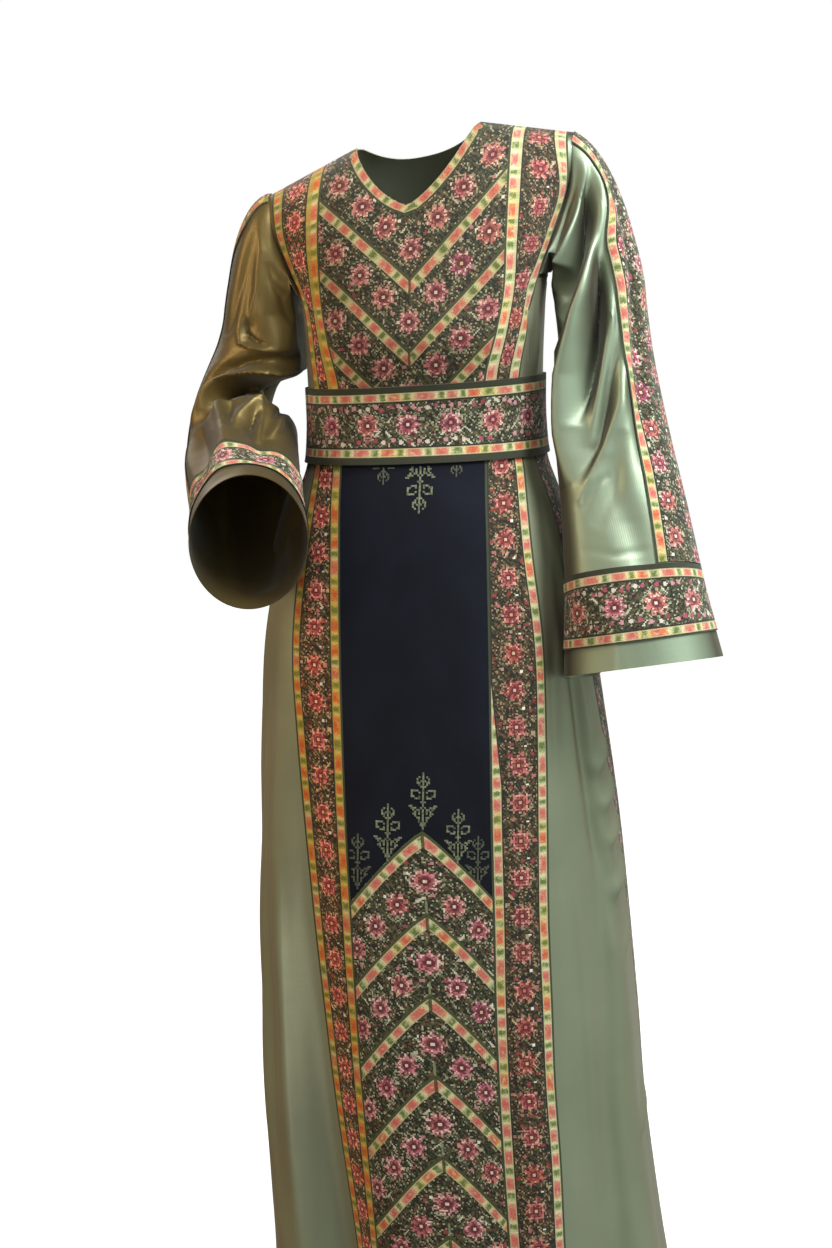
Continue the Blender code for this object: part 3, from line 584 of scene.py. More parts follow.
def grid_sheet(name, points, weave, edges, thickness, material, closed):
    """A sheet whose grid of points is given, rows going up and columns going round, with both UV maps."""
    rows, columns = points.shape[:2]
    bpy.ops.object.select_all(action="DESELECT")
    bpy.ops.mesh.primitive_grid_add(x_subdivisions=columns - 1, y_subdivisions=rows - 1, size=2.0)
    sheet = bpy.context.object
    sheet.name = name
    mesh = sheet.data
    mesh.name = name
    if len(mesh.vertices) != rows * columns:
        raise ValueError(f"{name}: the grid has {len(mesh.vertices)} points and not {rows * columns}")
    flat = np.empty(len(mesh.vertices) * 3, np.float32)
    mesh.vertices.foreach_get("co", flat)
    flat = flat.reshape(-1, 3)
    column = np.rint((flat[:, 0] + 1) / 2 * (columns - 1)).astype(int)
    row = np.rint((flat[:, 1] + 1) / 2 * (rows - 1)).astype(int)
    corners = np.empty(len(mesh.loops), np.int32)
    mesh.loops.foreach_get("vertex_index", corners)
    for old in list(mesh.uv_layers):
        mesh.uv_layers.remove(old)
    uv_layer(mesh, "weave", weave[row, column][corners])
    uv_layer(mesh, "edges", edges[row, column][corners])
    mesh.vertices.foreach_set("co", points[row, column].astype(np.float32).ravel())
    mesh.update()
    if closed:
        bpy.ops.object.mode_set(mode="EDIT")
        bpy.ops.mesh.select_all(action="SELECT")
        bpy.ops.mesh.remove_doubles(threshold=1e-5)
        bpy.ops.object.mode_set(mode="OBJECT")
    wall = sheet.modifiers.new("thickness", "SOLIDIFY")
    wall.thickness = thickness
    wall.offset = -1
    wall.use_even_offset = False
    bpy.ops.object.modifier_apply(modifier=wall.name)
    bpy.ops.object.shade_smooth_by_angle(angle=math.radians(55))
    mesh.materials.append(material)
    sheet.location = (0, 0, 0)
    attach(sheet, "root")
    return sheet


def steps(points, axis):
    """The running distance along one direction of a grid of points."""
    jumps = np.linalg.norm(np.diff(points, axis=axis), axis=-1)
    start = np.zeros_like(np.take(jumps, [0], axis=axis))
    return np.concatenate([start, np.cumsum(jumps, axis=axis)], axis=axis)


def measured(points):
    """Both UV maps of a grid of points: across from the left edge and along from the hem, and both edge distances."""
    across = steps(points, 1)
    middle = points.shape[1] // 2
    along = np.broadcast_to(steps(points, 0)[:, middle : middle + 1], across.shape)
    return np.stack([across, along], -1), np.stack([across, across[:, -1:] - across], -1)


def body_rows(low_z, high_z, spacing=0.008):
    """Levels between two heights below the armpit."""
    return level_of(np.linspace(low_z, high_z, max(3, int((high_z - low_z) / spacing) + 1)))


def yoke_rows(count=24):
    """Levels from the armpit to the shoulder, even round the shoulder's curve."""
    turn = np.linspace(0, math.pi / 2, count + 1)[1:]
    return np.sin(turn) ** (2 / YOKE_FULLNESS)


def body_grid(left, right, levels, columns):
    """Points and their levels between two seam angles, with the seam's gap taken off each edge.

    columns is how many columns there are, or the share of the way across for each of them.
    """
    shares = np.linspace(0, 1, columns) if np.ndim(columns) == 0 else columns
    if np.ndim(levels) == 1:
        levels = np.repeat(levels[:, None], len(shares), axis=1)
    low, high = left(levels), right(levels)
    radius = np.linalg.norm(garment_point(low, levels)[..., :2], axis=-1)
    trim = SEAM_GAP / 2 / np.maximum(radius, 0.1)
    angle = (low + trim) + (high - low - 2 * trim) * shares[None, :]
    points = garment_point(angle, levels)
    points[..., 1] -= np.where(levels > 0.999, SEAM_GAP / 2, 0.0) * np.sign(np.cos(angle))
    return points, levels


print("sheet tools ready")

# %% [markdown]
# ## Patterns written as sums
#
# Cross-stitch is a drawing on squares. A material can draw it if each point knows which square it is in, so the
# "weave" coordinates are rounded to the middle of a stitch first. A small class lets the sums be written in plain
# Python, and each sign adds one Math node.

# %% A small language for Math nodes


class Sum:
    """A number that changes over a surface. Sums of it become Math nodes in the material it belongs to."""

    def __init__(self, tree, socket):
        self.tree, self.socket = tree, socket

    def node(self, operation, *others, clamp=False):
        made = self.tree.nodes.new("ShaderNodeMath")
        made.operation = operation
        made.use_clamp = clamp
        for slot, value in zip(made.inputs, (self, *others)):
            if isinstance(value, Sum):
                self.tree.links.new(value.socket, slot)
            else:
                slot.default_value = float(value)
        return Sum(self.tree, made.outputs[0])

    def __add__(self, other):
        return self.node("ADD", other)

    def __sub__(self, other):
        return self.node("SUBTRACT", other)

    def __mul__(self, other):
        return self.node("MULTIPLY", other)

    def __truediv__(self, other):
        return self.node("DIVIDE", other)

    def __rsub__(self, other):
        return self * -1.0 + other

    __radd__ = __add__
    __rmul__ = __mul__

    def floor(self):
        return self.node("FLOOR")

    def fraction(self):
        return self.node("FRACT")

    def size(self):
        return self.node("ABSOLUTE")

    def below(self, limit):
        return self.node("LESS_THAN", limit)

    def above(self, limit):
        return self.node("GREATER_THAN", limit)

    def between(self, low, high):
        return self.above(low) * self.below(high)

    def rounded(self, step):
        """The nearest whole number of steps."""
        return (self / step + 0.5).floor()

    def stitch(self, step):
        """The middle of the stitch that this distance falls in."""
        return ((self / step).floor() + 0.5) * step

    def soft(self, low, high):
        """0 at low, 1 at high and clamped beyond."""
        return ((self - low) / (high - low)).node("ADD", 0.0, clamp=True)


def uv_sums(tree, name):
    """A UV map's two coordinates as Sums."""
    node = tree.nodes.new("ShaderNodeUVMap")
    node.uv_map = name
    split = tree.nodes.new("ShaderNodeSeparateXYZ")
    tree.links.new(node.outputs[0], split.inputs[0])
    return Sum(tree, split.outputs[0]), Sum(tree, split.outputs[1])


def distance_of(dx, dy):
    """How far a point is from a middle, from the way across and the way up."""
    return ((dx * dx) + (dy * dy)).node("SQRT")


def vector_of(tree, x, y, z=0.0):
    """A vector from up to three Sums."""
    join = tree.nodes.new("ShaderNodeCombineXYZ")
    for slot, value in zip(join.inputs, (x, y, z)):
        if isinstance(value, Sum):
            tree.links.new(value.socket, slot)
        else:
            slot.default_value = value
    return join.outputs[0]


def chance(tree, x, y, seed):
    """A fixed random number from 0 to 1 for each pair of whole numbers."""
    noise = tree.nodes.new("ShaderNodeTexWhiteNoise")
    noise.noise_dimensions = "3D"
    tree.links.new(vector_of(tree, x, y, seed), noise.inputs["Vector"])
    return Sum(tree, noise.outputs["Value"])


def cloud(tree, x, y, scale, detail=3.0):
    """Soft noise over the cloth, about 0.5 on average."""
    noise = tree.nodes.new("ShaderNodeTexNoise")
    noise.inputs["Scale"].default_value = scale
    noise.inputs["Detail"].default_value = detail
    tree.links.new(vector_of(tree, x, y), noise.inputs["Vector"])
    return Sum(tree, noise.outputs["Fac"])


def stepped_colours(tree, factor, stops, smooth=False):
    """A colour for each stretch of a Sum. stops are pairs of the start of a stretch and its colour."""
    ramp = tree.nodes.new("ShaderNodeValToRGB")
    ramp.color_ramp.interpolation = "LINEAR" if smooth else "CONSTANT"
    marks = ramp.color_ramp.elements
    marks[0].position, marks[0].color = stops[0][0], (*stops[0][1], 1)
    marks[1].position, marks[1].color = stops[-1][0], (*stops[-1][1], 1)
    for place, colour in stops[1:-1]:
        made = marks.new(place)
        made.color = (*colour, 1)
    tree.links.new(factor.socket, ramp.inputs[0])
    return ramp.outputs[0]


def blended(tree, factor, first, second, mode="MIX"):
    """Two colours mixed by a Sum. A colour is a socket or three numbers."""
    mix = tree.nodes.new("ShaderNodeMix")
    mix.data_type = "RGBA"
    mix.blend_type = mode
    if isinstance(factor, Sum):
        tree.links.new(factor.socket, mix.inputs[0])
    else:
        mix.inputs[0].default_value = factor
    for slot, colour in ((mix.inputs[6], first), (mix.inputs[7], second)):
        if isinstance(colour, tuple):
            slot.default_value = (*colour, 1)
        else:
            tree.links.new(colour, slot)
    return mix.outputs[2]


def new_material(name):
    """A material with its tree and its shader."""
    material = bpy.data.materials.new(name)
    material.use_nodes = True
    tree = material.node_tree
    return material, tree, tree.nodes["Principled BSDF"]


def bumped(tree, shader, height, distance, strength):
    """Relief from a Sum, whose 1 stands as high as the distance."""
    bump = tree.nodes.new("ShaderNodeBump")
    bump.inputs["Strength"].default_value = strength
    bump.inputs["Distance"].default_value = distance
    tree.links.new(height.socket, bump.inputs["Height"])
    tree.links.new(bump.outputs[0], shader.inputs["Normal"])


print("pattern tools ready")

# %% [markdown]
# ## Satin
#
# Satin is smooth because its threads float over several others. It shines along broad soft patches, and its fine
# threads still show as a faint grain. Its colour goes to a painted warm shade where the cloth turns away from view,
# which stands in for its shaded valleys and the warm light it reflects. The same cloth is mixed four times, as lit and
# shaded copies with painted light and shade: for the hanging sleeve, for the skirt, for the sides and for the sleeve
# that is turned to the warm, dim side.

# %% Satin material


def satin_material(name, base, painted_turned_shade, turned=(0.20, 0.90)):
    """Satin whose colour goes from base to a painted shade where it turns away from view, with a faint thread grain.
    turned says where it goes from base to the painted shade.
    """
    material, tree, shader = new_material(name)
    across, along = uv_sums(tree, "weave")
    mottled = cloud(tree, across, along, 7.0)
    facing = tree.nodes.new("ShaderNodeLayerWeight")
    facing.inputs["Blend"].default_value = 0.42
    turn = Sum(tree, facing.outputs["Facing"])
    # Painted shade: the base colour goes dark and warm where the cloth turns away from view, standing in for shaded
    # valleys and warm reflections.
    tone = blended(tree, turn.soft(*turned), base, painted_turned_shade)
    shade = stepped_colours(tree, mottled, ((0.3, (0.90, 0.90, 0.90)), (0.7, (1.08, 1.08, 1.08))), smooth=True)
    tree.links.new(blended(tree, 1.0, tone, shade, "MULTIPLY"), shader.inputs["Base Color"])
    rough = cloud(tree, across * 0.2, along * 3.0, 24.0) * 0.14 + 0.36
    tree.links.new(rough.socket, shader.inputs["Roughness"])
    shader.inputs["Metallic"].default_value = 0.50
    shader.inputs["Specular IOR Level"].default_value = 0.5
    shader.inputs["Sheen Weight"].default_value = 0.25
    shader.inputs["Sheen Roughness"].default_value = 0.4
    threads = (across * 2400.0).node("SINE") * 0.5 + (along * 900.0).node("SINE") * 0.2
    pulls = cloud(tree, across * 26.0, along * 5.0, 1.0, 3.0)
    bumped(tree, shader, threads * 0.05 + pulls, 0.0016, 0.5)
    return material


# Four copies of one satin with painted light and shade: sage for the lit hanging sleeve, with near-black painted shade
# where it turns away; a darker one with painted shade for the skirt; one with painted light and shade for the sides
# and the back; and an olive-brown one with painted warm shade for the sleeve on the dim warm side.
SATIN = satin_material("sage_satin", (0.310, 0.375, 0.280), (0.060, 0.046, 0.022), turned=(0.13, 0.52))
SATIN_PAINTED_SKIRT_SHADE = satin_material("satin_painted_skirt_shade", (0.222, 0.236, 0.168), (0.19, 0.150, 0.075))
SATIN_PAINTED_SIDE_SHADING = satin_material("satin_painted_side_shading", (0.305, 0.330, 0.240), (0.26, 0.215, 0.125))
SATIN_PAINTED_WARM_SHADE = satin_material("satin_painted_warm_shade", (0.180, 0.125, 0.040), (0.075, 0.048, 0.016), turned=(0.20, 0.75))
print("made", SATIN.name, SATIN_PAINTED_SKIRT_SHADE.name, SATIN_PAINTED_SIDE_SHADING.name, "and", SATIN_PAINTED_WARM_SHADE.name)

# %% [markdown]
# ## Stitched ground and rosettes
#
# The panels are covered with cross-stitch in many colours on a dark cloth. A rosette has eight petals round a light
# middle, and the ground is flecked with short slanting stitches in olive, green and cream. Each colour is chosen
# stitch by stitch, as the embroiderer does, with a shade of its own for each flower.

# %% Embroidery colours
DARK_CLOTH = (0.0090, 0.0070, 0.0045)
OLIVE_THREAD = (0.100, 0.083, 0.037)
GREEN_THREAD = (0.042, 0.058, 0.029)
CREAM_THREAD = (0.56, 0.54, 0.39)
RUST_THREAD = (0.24, 0.070, 0.036)
WHITE_BEAD = (0.78, 0.78, 0.70)
DASH_THREAD = (0.62, 0.60, 0.48)
HALO_THREAD = (0.36, 0.35, 0.24)
WINE_THREAD = (0.115, 0.012, 0.026)
HEART_THREAD = (0.120, 0.010, 0.028)
SHADOW_THREAD = (0.085, 0.010, 0.020)
BLUSH_THREAD = (0.80, 0.64, 0.58)
SERGE_THREAD = (0.050, 0.062, 0.030)
STITCH = 0.0018
ROSETTE_RADIUS = 0.0140
ROSETTE_SPACING = 0.044
BEAD_RADIUS = 0.0019
BUD_RADIUS = 0.0027
BUD_SPACING = 0.0125
LARGE_ROSETTE_RADIUS = 0.0145
STRIP_SPACING = 0.050
STRIP_RIBBON_WIDTH = 0.0098
RIBBON_WIDTH = 0.0105
RIBBON_LINE = 0.0014
BAND_BORDER = 0.0026
CHEVRON_BORDER = 0.0032
BEYOND_EDGE = -0.01
EVEN_TONE = (1.0, 1.0, 1.0)
BLOCK_PERIOD = 0.032
ABOVE_BELT = 1.10
PINK_BLOCKS = (
    (0.0, (0.74, 0.56, 0.34)),
    (0.08, (0.70, 0.23, 0.17)),
    (0.28, (0.68, 0.12, 0.12)),
    (0.48, (0.74, 0.25, 0.19)),
    (0.58, (0.80, 0.74, 0.48)),
    (0.66, (0.52, 0.52, 0.26)),
    (0.74, (0.13, 0.19, 0.045)),
    (0.86, (0.17, 0.22, 0.055)),
    (0.93, (0.74, 0.70, 0.42)),
    (1.0, (0.80, 0.66, 0.42)),
)
ORANGE_BLOCKS = (
    (0.0, (0.78, 0.47, 0.10)),
    (0.08, (0.80, 0.18, 0.030)),
    (0.28, (0.72, 0.10, 0.022)),
    (0.48, (0.78, 0.27, 0.045)),
    (0.58, (0.80, 0.56, 0.12)),
    (0.66, (0.48, 0.40, 0.07)),
    (0.74, (0.20, 0.19, 0.02)),
    (0.86, (0.26, 0.24, 0.03)),
    (0.93, (0.72, 0.52, 0.11)),
    (1.0, (0.80, 0.53, 0.12)),
)
PETAL_DEEP = (
    (0.0, (0.27, 0.030, 0.060)),
    (0.5, (0.30, 0.045, 0.065)),
    (0.85, (0.34, 0.070, 0.050)),
    (1.0, (0.22, 0.026, 0.060)),
)
PETAL_LIGHT = (
    (0.0, (0.60, 0.23, 0.27)),
    (0.5, (0.66, 0.31, 0.32)),
    (0.85, (0.62, 0.22, 0.16)),
    (1.0, (0.47, 0.15, 0.22)),
)
MIDDLES = ((0.0, (0.74, 0.66, 0.58)), (0.55, (0.60, 0.24, 0.26)), (0.80, (0.66, 0.52, 0.28)))
BUD_SHADES = (
    (0.0, (0.34, 0.060, 0.10)),
    (0.4, (0.50, 0.21, 0.25)),
    (0.75, (0.50, 0.46, 0.36)),
    (0.9, (0.30, 0.05, 0.04)),
)
BERRY_SHADES = (
    (0.0, (0.40, 0.07, 0.12)),
    (0.35, (0.58, 0.26, 0.30)),
    (0.65, (0.66, 0.58, 0.52)),
    (0.85, (0.30, 0.04, 0.07)),
)
print("stitch size", STITCH, "m, rosette radius", ROSETTE_RADIUS, "m")

# %% Ground, rosettes and edgings


def stitched_ground(tree, x, y, richness=1.0):
    """Dark cloth with short slanting stitches in olive, green, cream and a little rust."""
    i, j = (x / STITCH).floor(), (y / STITCH).floor()
    rising = chance(tree, i + j, ((i - j) / 3.0).floor(), 1.0)
    falling = chance(tree, i - j, ((i + j) / 2.0).floor(), 2.0)
    single = chance(tree, i, j, 3.0)
    colour = blended(tree, rising.above(1 - 0.33 * richness), DARK_CLOTH, OLIVE_THREAD)
    colour = blended(tree, falling.above(1 - 0.23 * richness), colour, GREEN_THREAD)
    colour = blended(tree, rising.below(0.085 * richness) * (single * 0.7 + 0.25), colour, CREAM_THREAD)
    colour = blended(tree, falling.below(0.060 * richness) * 0.8, colour, RUST_THREAD)
    colour = blended(tree, single.below(0.045 * richness) * 0.8, colour, CREAM_THREAD)
    colour = blended(tree, single.above(0.80) * 0.7, colour, DARK_CLOTH)
    return colour, single


def place_rosette(tree, colour, dx, dy, pick, speck, radius=ROSETTE_RADIUS):
    """An eight-petalled rosette over a ground, at a distance from its middle, with a shade that depends on pick."""
    reach = distance_of(dx, dy)
    share = reach / radius
    turn = dy.node("ARCTAN2", dx) / (math.pi / 4) + pick.above(0.5) * 0.5
    aside = ((turn + 0.5).fraction() - 0.5).size() * (math.pi / 4) * reach
    out = reach - radius * 0.65
    petals = (aside * aside) / (radius * 0.210) ** 2 + (out * out) / (radius * 0.37) ** 2
    deep = stepped_colours(tree, pick, PETAL_DEEP, smooth=True)
    light = stepped_colours(tree, pick, PETAL_LIGHT, smooth=True)
    halo = share.between(0.90, 1.22) * speck.between(0.30, 0.55) * 0.8
    colour = blended(tree, halo, colour, HALO_THREAD)
    colour = blended(tree, (share + speck * 0.18).below(0.96) * 0.92, colour, WINE_THREAD)
    petal = blended(tree, (share + speck * 0.6 - 0.30).soft(0.30, 0.75), deep, light)
    petal = blended(tree, speck.above(0.80) * 0.85, petal, SHADOW_THREAD)
    petal = blended(tree, speck.below(0.17) * share.above(0.52), petal, BLUSH_THREAD)
    colour = blended(tree, petals.below(1.0), colour, petal)
    colour = blended(tree, share.below(0.34) * 0.92, colour, HEART_THREAD)
    middle = stepped_colours(tree, (pick * 7.0).fraction(), MIDDLES)
    return blended(tree, share.below(0.18), colour, middle)


def place_bead(tree, colour, dx, dy, shown):
    """A small white bead where shown is 1."""
    return blended(tree, distance_of(dx, dy).below(BEAD_RADIUS) * shown, colour, WHITE_BEAD)


def chances_of_square(tree, x, y, size, seed):
    """Two fixed random numbers for each square of a cloth divided into squares of one size."""
    i, j = (x / size).floor(), (y / size).floor()
    return chance(tree, i, j, seed), chance(tree, i, j, seed + 1.0)


def place_buds(tree, colour, x, y, low=0.30):
    """Small pink and cream buds scattered over a ground, one in each square whose chance is below low."""
    pick, slide = chances_of_square(tree, x, y, BUD_SPACING, 5.0)
    dx = (x / BUD_SPACING).fraction() - 0.5 - (slide - 0.5) * 0.5
    dy = (y / BUD_SPACING).fraction() - 0.5 - (pick - 0.5) * 0.5
    reach = ((dx * dx) + (dy * dy) * 1.6).node("SQRT") * BUD_SPACING
    return blended(tree, reach.below(BUD_RADIUS) * pick.below(low), colour, stepped_colours(tree, slide, BUD_SHADES))


def place_dashes(tree, colour, x, y, low=0.10, size=0.0210):
    """Short slanting cream stitches, here and there on a ground."""
    pick, slide = chances_of_square(tree, x, y, size, 15.0)
    dx = ((x / size).fraction() - 0.5 - (slide - 0.5) * 0.6) * size
    dy = ((y / size).fraction() - 0.5 - (pick - 0.5) * 0.6) * size
    lean = (slide.above(0.5) * 2.0 - 1.0) * 0.9
    shown = (dx - dy * lean).size().below(0.0013) * dy.size().below(0.0036) * pick.below(low)
    return blended(tree, shown, colour, DASH_THREAD)


def ribbon_colour(tree, distance, along, width, blocks, tint_seed=0.0):
    """A ribbon's own colours at a distance from its edge and along it. No two of its blocks are quite alike."""
    stretch = cloud(tree, along * 0.0 + tint_seed, along, 11.0, 1.0) * 1.3
    wobble = cloud(tree, distance * 2.0, along, 300.0, 2.0)
    run = along / BLOCK_PERIOD + stretch + wobble * 0.22 + tint_seed
    colour = stepped_colours(tree, run.fraction(), blocks, smooth=True)
    turn = chance(tree, run.floor(), 1.0, 8.0)
    other = ORANGE_BLOCKS if blocks is PINK_BLOCKS else PINK_BLOCKS
    colour = blended(tree, turn.above(0.72) * 0.55, colour, stepped_colours(tree, run.fraction(), other, smooth=True))
    pale = cloud(tree, distance * 1.2, along, 130.0, 2.0)
    golden = blocks is ORANGE_BLOCKS
    colour = blended(tree, pale.soft(0.52, 0.74) * 0.65, colour, (0.80, 0.50, 0.10) if golden else (0.78, 0.72, 0.50))
    line = distance.below(RIBBON_LINE) + distance.above(width - RIBBON_LINE)
    colour = blended(tree, line * 0.7, colour, (0.46, 0.36, 0.06) if golden else (0.60, 0.56, 0.33))
    grain = cloud(tree, distance * 6.0, along * 1.5, 420.0, 3.0)
    shade = stepped_colours(tree, grain, ((0.30, (0.38, 0.38, 0.36)), (0.64, (1.20, 1.20, 1.17))), smooth=True)
    return blended(tree, 0.9, colour, shade, "MULTIPLY")


def place_border(tree, colour, distance, x, y, low, high, shade=SERGE_THREAD):
    """A close dark serged border between two distances from an edge, in slanting stitches of three shades."""
    slanted = ((x + y) / 0.0022).fraction()
    shades = [(start, tuple(part * gain for part in shade)) for start, gain in ((0.0, 1.0), (0.45, 0.35), (0.9, 1.6))]
    return blended(tree, distance.between(low, high), colour, stepped_colours(tree, slanted, shades))


def finish_embroidery(tree, shader, colour, x, y):
    """The shader of a stitched piece: matt threads, with a raised cross in each stitch."""
    tree.links.new(colour, shader.inputs["Base Color"])
    shader.inputs["Roughness"].default_value = 0.62
    shader.inputs["Specular IOR Level"].default_value = 0.35
    shader.inputs["Sheen Weight"].default_value = 0.15
    shader.inputs["Sheen Roughness"].default_value = 0.5
    across, up = (x / STITCH).fraction() - 0.5, (y / STITCH).fraction() - 0.5
    cross = 1.0 - ((across - up).size().node("MINIMUM", (across + up).size()) * 2.2)
    grain = cloud(tree, x, y, 700.0, 2.0)
    bumped(tree, shader, cross * 0.6 + grain * 0.5, 0.0006, 0.8)


print("embroidery functions ready")

# %% [markdown]
# ## One material for each stitched piece
#
# Bands are filled with one row of rosettes and edged with ribbon. The chest has ribbon Vs with rosettes between
# them, and the hem has ribbon chevrons. The side panels have flowers alone, and the belt and the cuffs are long
# strips. Each of these is drawn from the same parts, in the order in which it is sewn: ground, flowers, ribbons.

# %% Materials of the stitched pieces


def band_material(name, blocks, columns=1, shift=0.0, bare=None, tone=EVEN_TONE, serge=SERGE_THREAD, wider=(0.0, 0.0)):
    """A long band: rosettes in one or two rows, a ribbon along each edge and a thin serged border outside it.

    bare gives two heights along the band between which its left ribbon is left out, and below which it comes back.
    wider is what the two ribbons gain above the belt.
    """
    material, tree, shader = new_material(name)
    u, v = uv_sums(tree, "weave")
    left, right = uv_sums(tree, "edges")
    full = 1.0 if bare is None else 1.0 - v.soft(bare[0] - 0.12, bare[0]) * v.below(bare[1])
    x, y = u.stitch(STITCH), v.stitch(STITCH)
    colour, single = stitched_ground(tree, x, y)
    colour = place_buds(tree, colour, x + 0.003, y)
    colour = place_dashes(tree, colour, x, y)
    for column in range(columns):
        offset = (column - (columns - 1) / 2) * 0.040 if bare is None else (full - 1.0) * (RIBBON_WIDTH / 2)
        moved = y + shift + column * ROSETTE_SPACING / 2
        number = moved.rounded(ROSETTE_SPACING)
        pick = chance(tree, number, column + 11.0, 4.0)
        dy = (moved - number * ROSETTE_SPACING).stitch(STITCH)
        dx = (x - offset).stitch(STITCH)
        colour = place_rosette(tree, colour, dx, dy, pick, single, 0.0132)
        colour = blended(tree, 1.0, colour, tone, "MULTIPLY")
        halfway = (moved / ROSETTE_SPACING).floor() * ROSETTE_SPACING + ROSETTE_SPACING / 2
        colour = place_bead(tree, colour, x - offset - 0.009, moved - halfway, pick.above(0.4))
    for distance, seed, share, gain in ((left, 0.0, full, wider[0]), (right, 0.37, 1.0, wider[1])):
        laid = ribbon_colour(tree, distance - BAND_BORDER, v, RIBBON_WIDTH, blocks, seed)
        wide = v.above(ABOVE_BELT) * gain + share * RIBBON_WIDTH + BAND_BORDER
        colour = blended(tree, distance.above(BAND_BORDER) * (distance - wide).below(0.0), colour, laid)
        colour = place_border(tree, colour, distance - wide, u, v, 0.0, 0.0018, (0.020, 0.022, 0.010))
        colour = place_border(tree, colour, distance, u, v, BEYOND_EDGE, BAND_BORDER, serge)
    finish_embroidery(tree, shader, colour, u, v)
    return material


def strip_material(name, high_border, low_border):
    """A strip that runs round the body or the wrist: borders, two ribbons and a field of rosettes between them."""
    material, tree, shader = new_material(name)
    u, v = uv_sums(tree, "weave")
    low, high = uv_sums(tree, "edges")
    x, y = u.stitch(STITCH), v.stitch(STITCH)
    colour, single = stitched_ground(tree, x, y, 1.15)
    colour = place_dashes(tree, colour, x, y, 0.35, 0.0160)
    middle = (low - high + (high_border - low_border)) * 0.5
    for height, step, seed in ((-0.0195, 0.0105, 21.0), (0.0195, 0.0090, 22.0)):
        number = (x / step).floor()
        pick = chance(tree, number, seed, 4.0)
        dx = x - (number + 0.5) * step - (pick - 0.5) * 0.003
        dy = middle - height - (pick - 0.5) * 0.006
        shown = distance_of(dx, dy).below(BUD_RADIUS) * pick.above(0.14)
        colour = blended(tree, shown, colour, stepped_colours(tree, (pick * 9.0).fraction(), BERRY_SHADES))
    number = x.rounded(STRIP_SPACING)
    pick = chance(tree, number, 3.0, 4.0)
    dx = (x - number * STRIP_SPACING).stitch(STITCH)
    colour = place_rosette(tree, colour, dx, middle.stitch(STITCH), pick, single, LARGE_ROSETTE_RADIUS)
    for distance, border, seed in ((high, high_border, 0.0), (low, low_border, 0.4)):
        inner = border + STRIP_RIBBON_WIDTH
        laid = ribbon_colour(tree, distance - border, u, STRIP_RIBBON_WIDTH, PINK_BLOCKS, seed)
        colour = blended(tree, distance.between(border, inner), colour, laid)
        colour = place_border(tree, colour, distance, u, v, inner, inner + 0.002, (0.020, 0.018, 0.012))
        colour = place_border(tree, colour, distance, u, v, BEYOND_EDGE, border, (0.034, 0.036, 0.017))
    finish_embroidery(tree, shader, colour, u, v)
    return material


def slanted_material(name, sign, first, spacing, step, slope, row_shift, radius, top_edge=False, tone=EVEN_TONE):
    """Ribbon chevrons with rosettes between them. sign is 1 if their points look up and -1 if they look down.

    first is the height of the first point and spacing the way from one chevron to the next. The rosettes stand step
    apart, row_shift below the ribbon. top_edge adds a ribbon along the top edge, which is the neckline.
    """
    material, tree, shader = new_material(name)
    u, v = uv_sums(tree, "weave")
    _, edge_top = uv_sums(tree, "edges")
    x, y = u.stitch(STITCH), v.stitch(STITCH)
    colour, single = stitched_ground(tree, x, y)
    colour = place_buds(tree, colour, x, y, 0.10)
    colour = place_dashes(tree, colour, x, y, 0.16)

    def depth(side, height):
        return first - height - side.size() * (slope * sign)

    stepped = depth(x, y)
    row = (stepped / spacing).floor()
    inside_row = stepped - row * spacing
    column = x.size().rounded(step)
    dx = (x.size() - column * step).stitch(STITCH)
    dy = (inside_row + dx * (slope * sign) - row_shift).stitch(STITCH)
    pick = chance(tree, column * x.node("SIGN"), row, 4.0)
    colour = place_rosette(tree, colour, dx, dy, pick, single, radius)
    bead_x = x.size() - ((x.size() / step).floor() + 0.5) * step
    bead_y = inside_row + bead_x * (slope * sign) - row_shift * 0.62
    colour = place_bead(tree, colour, bead_x, bead_y, pick.above(0.35))
    true_depth = depth(u, v)
    lean = math.atan(slope)
    across = (true_depth / spacing).fraction() * spacing * math.cos(lean)
    arm = u.size() * math.cos(lean) + (first - v) * (sign * math.sin(lean))
    seed = (true_depth / spacing).floor() * 0.31 + u.node("SIGN") * 0.13
    laid = ribbon_colour(tree, across - CHEVRON_BORDER, arm + seed * BLOCK_PERIOD, RIBBON_WIDTH, PINK_BLOCKS)
    shown = true_depth.above(spacing * 0.5 if top_edge else -0.001)
    colour = blended(tree, across.between(CHEVRON_BORDER, CHEVRON_BORDER + RIBBON_WIDTH) * shown, colour, laid)
    colour = place_border(tree, colour, across, u, v, BEYOND_EDGE, CHEVRON_BORDER, (0.080, 0.095, 0.034))
    tip = u.size().below(0.0014) * across.between(0.002, 0.0150) * shown
    colour = blended(tree, tip * 0.85, colour, (0.035, 0.034, 0.012))
    if top_edge:
        laid = ribbon_colour(tree, edge_top - 0.001, arm, 0.0095, PINK_BLOCKS, 0.2)
        colour = blended(tree, edge_top.between(0.001, 0.0105), colour, laid)
        colour = place_border(tree, colour, edge_top, u, v, 0.0105, 0.013)
    else:
        spike = u.size().below(0.0010) * across.above((spacing - 0.015) * math.cos(lean))
        colour = blended(tree, spike * 0.8, colour, (0.25, 0.29, 0.17))
    colour = blended(tree, 1.0, colour, tone, "MULTIPLY")
    finish_embroidery(tree, shader, colour, u, v)
    return material


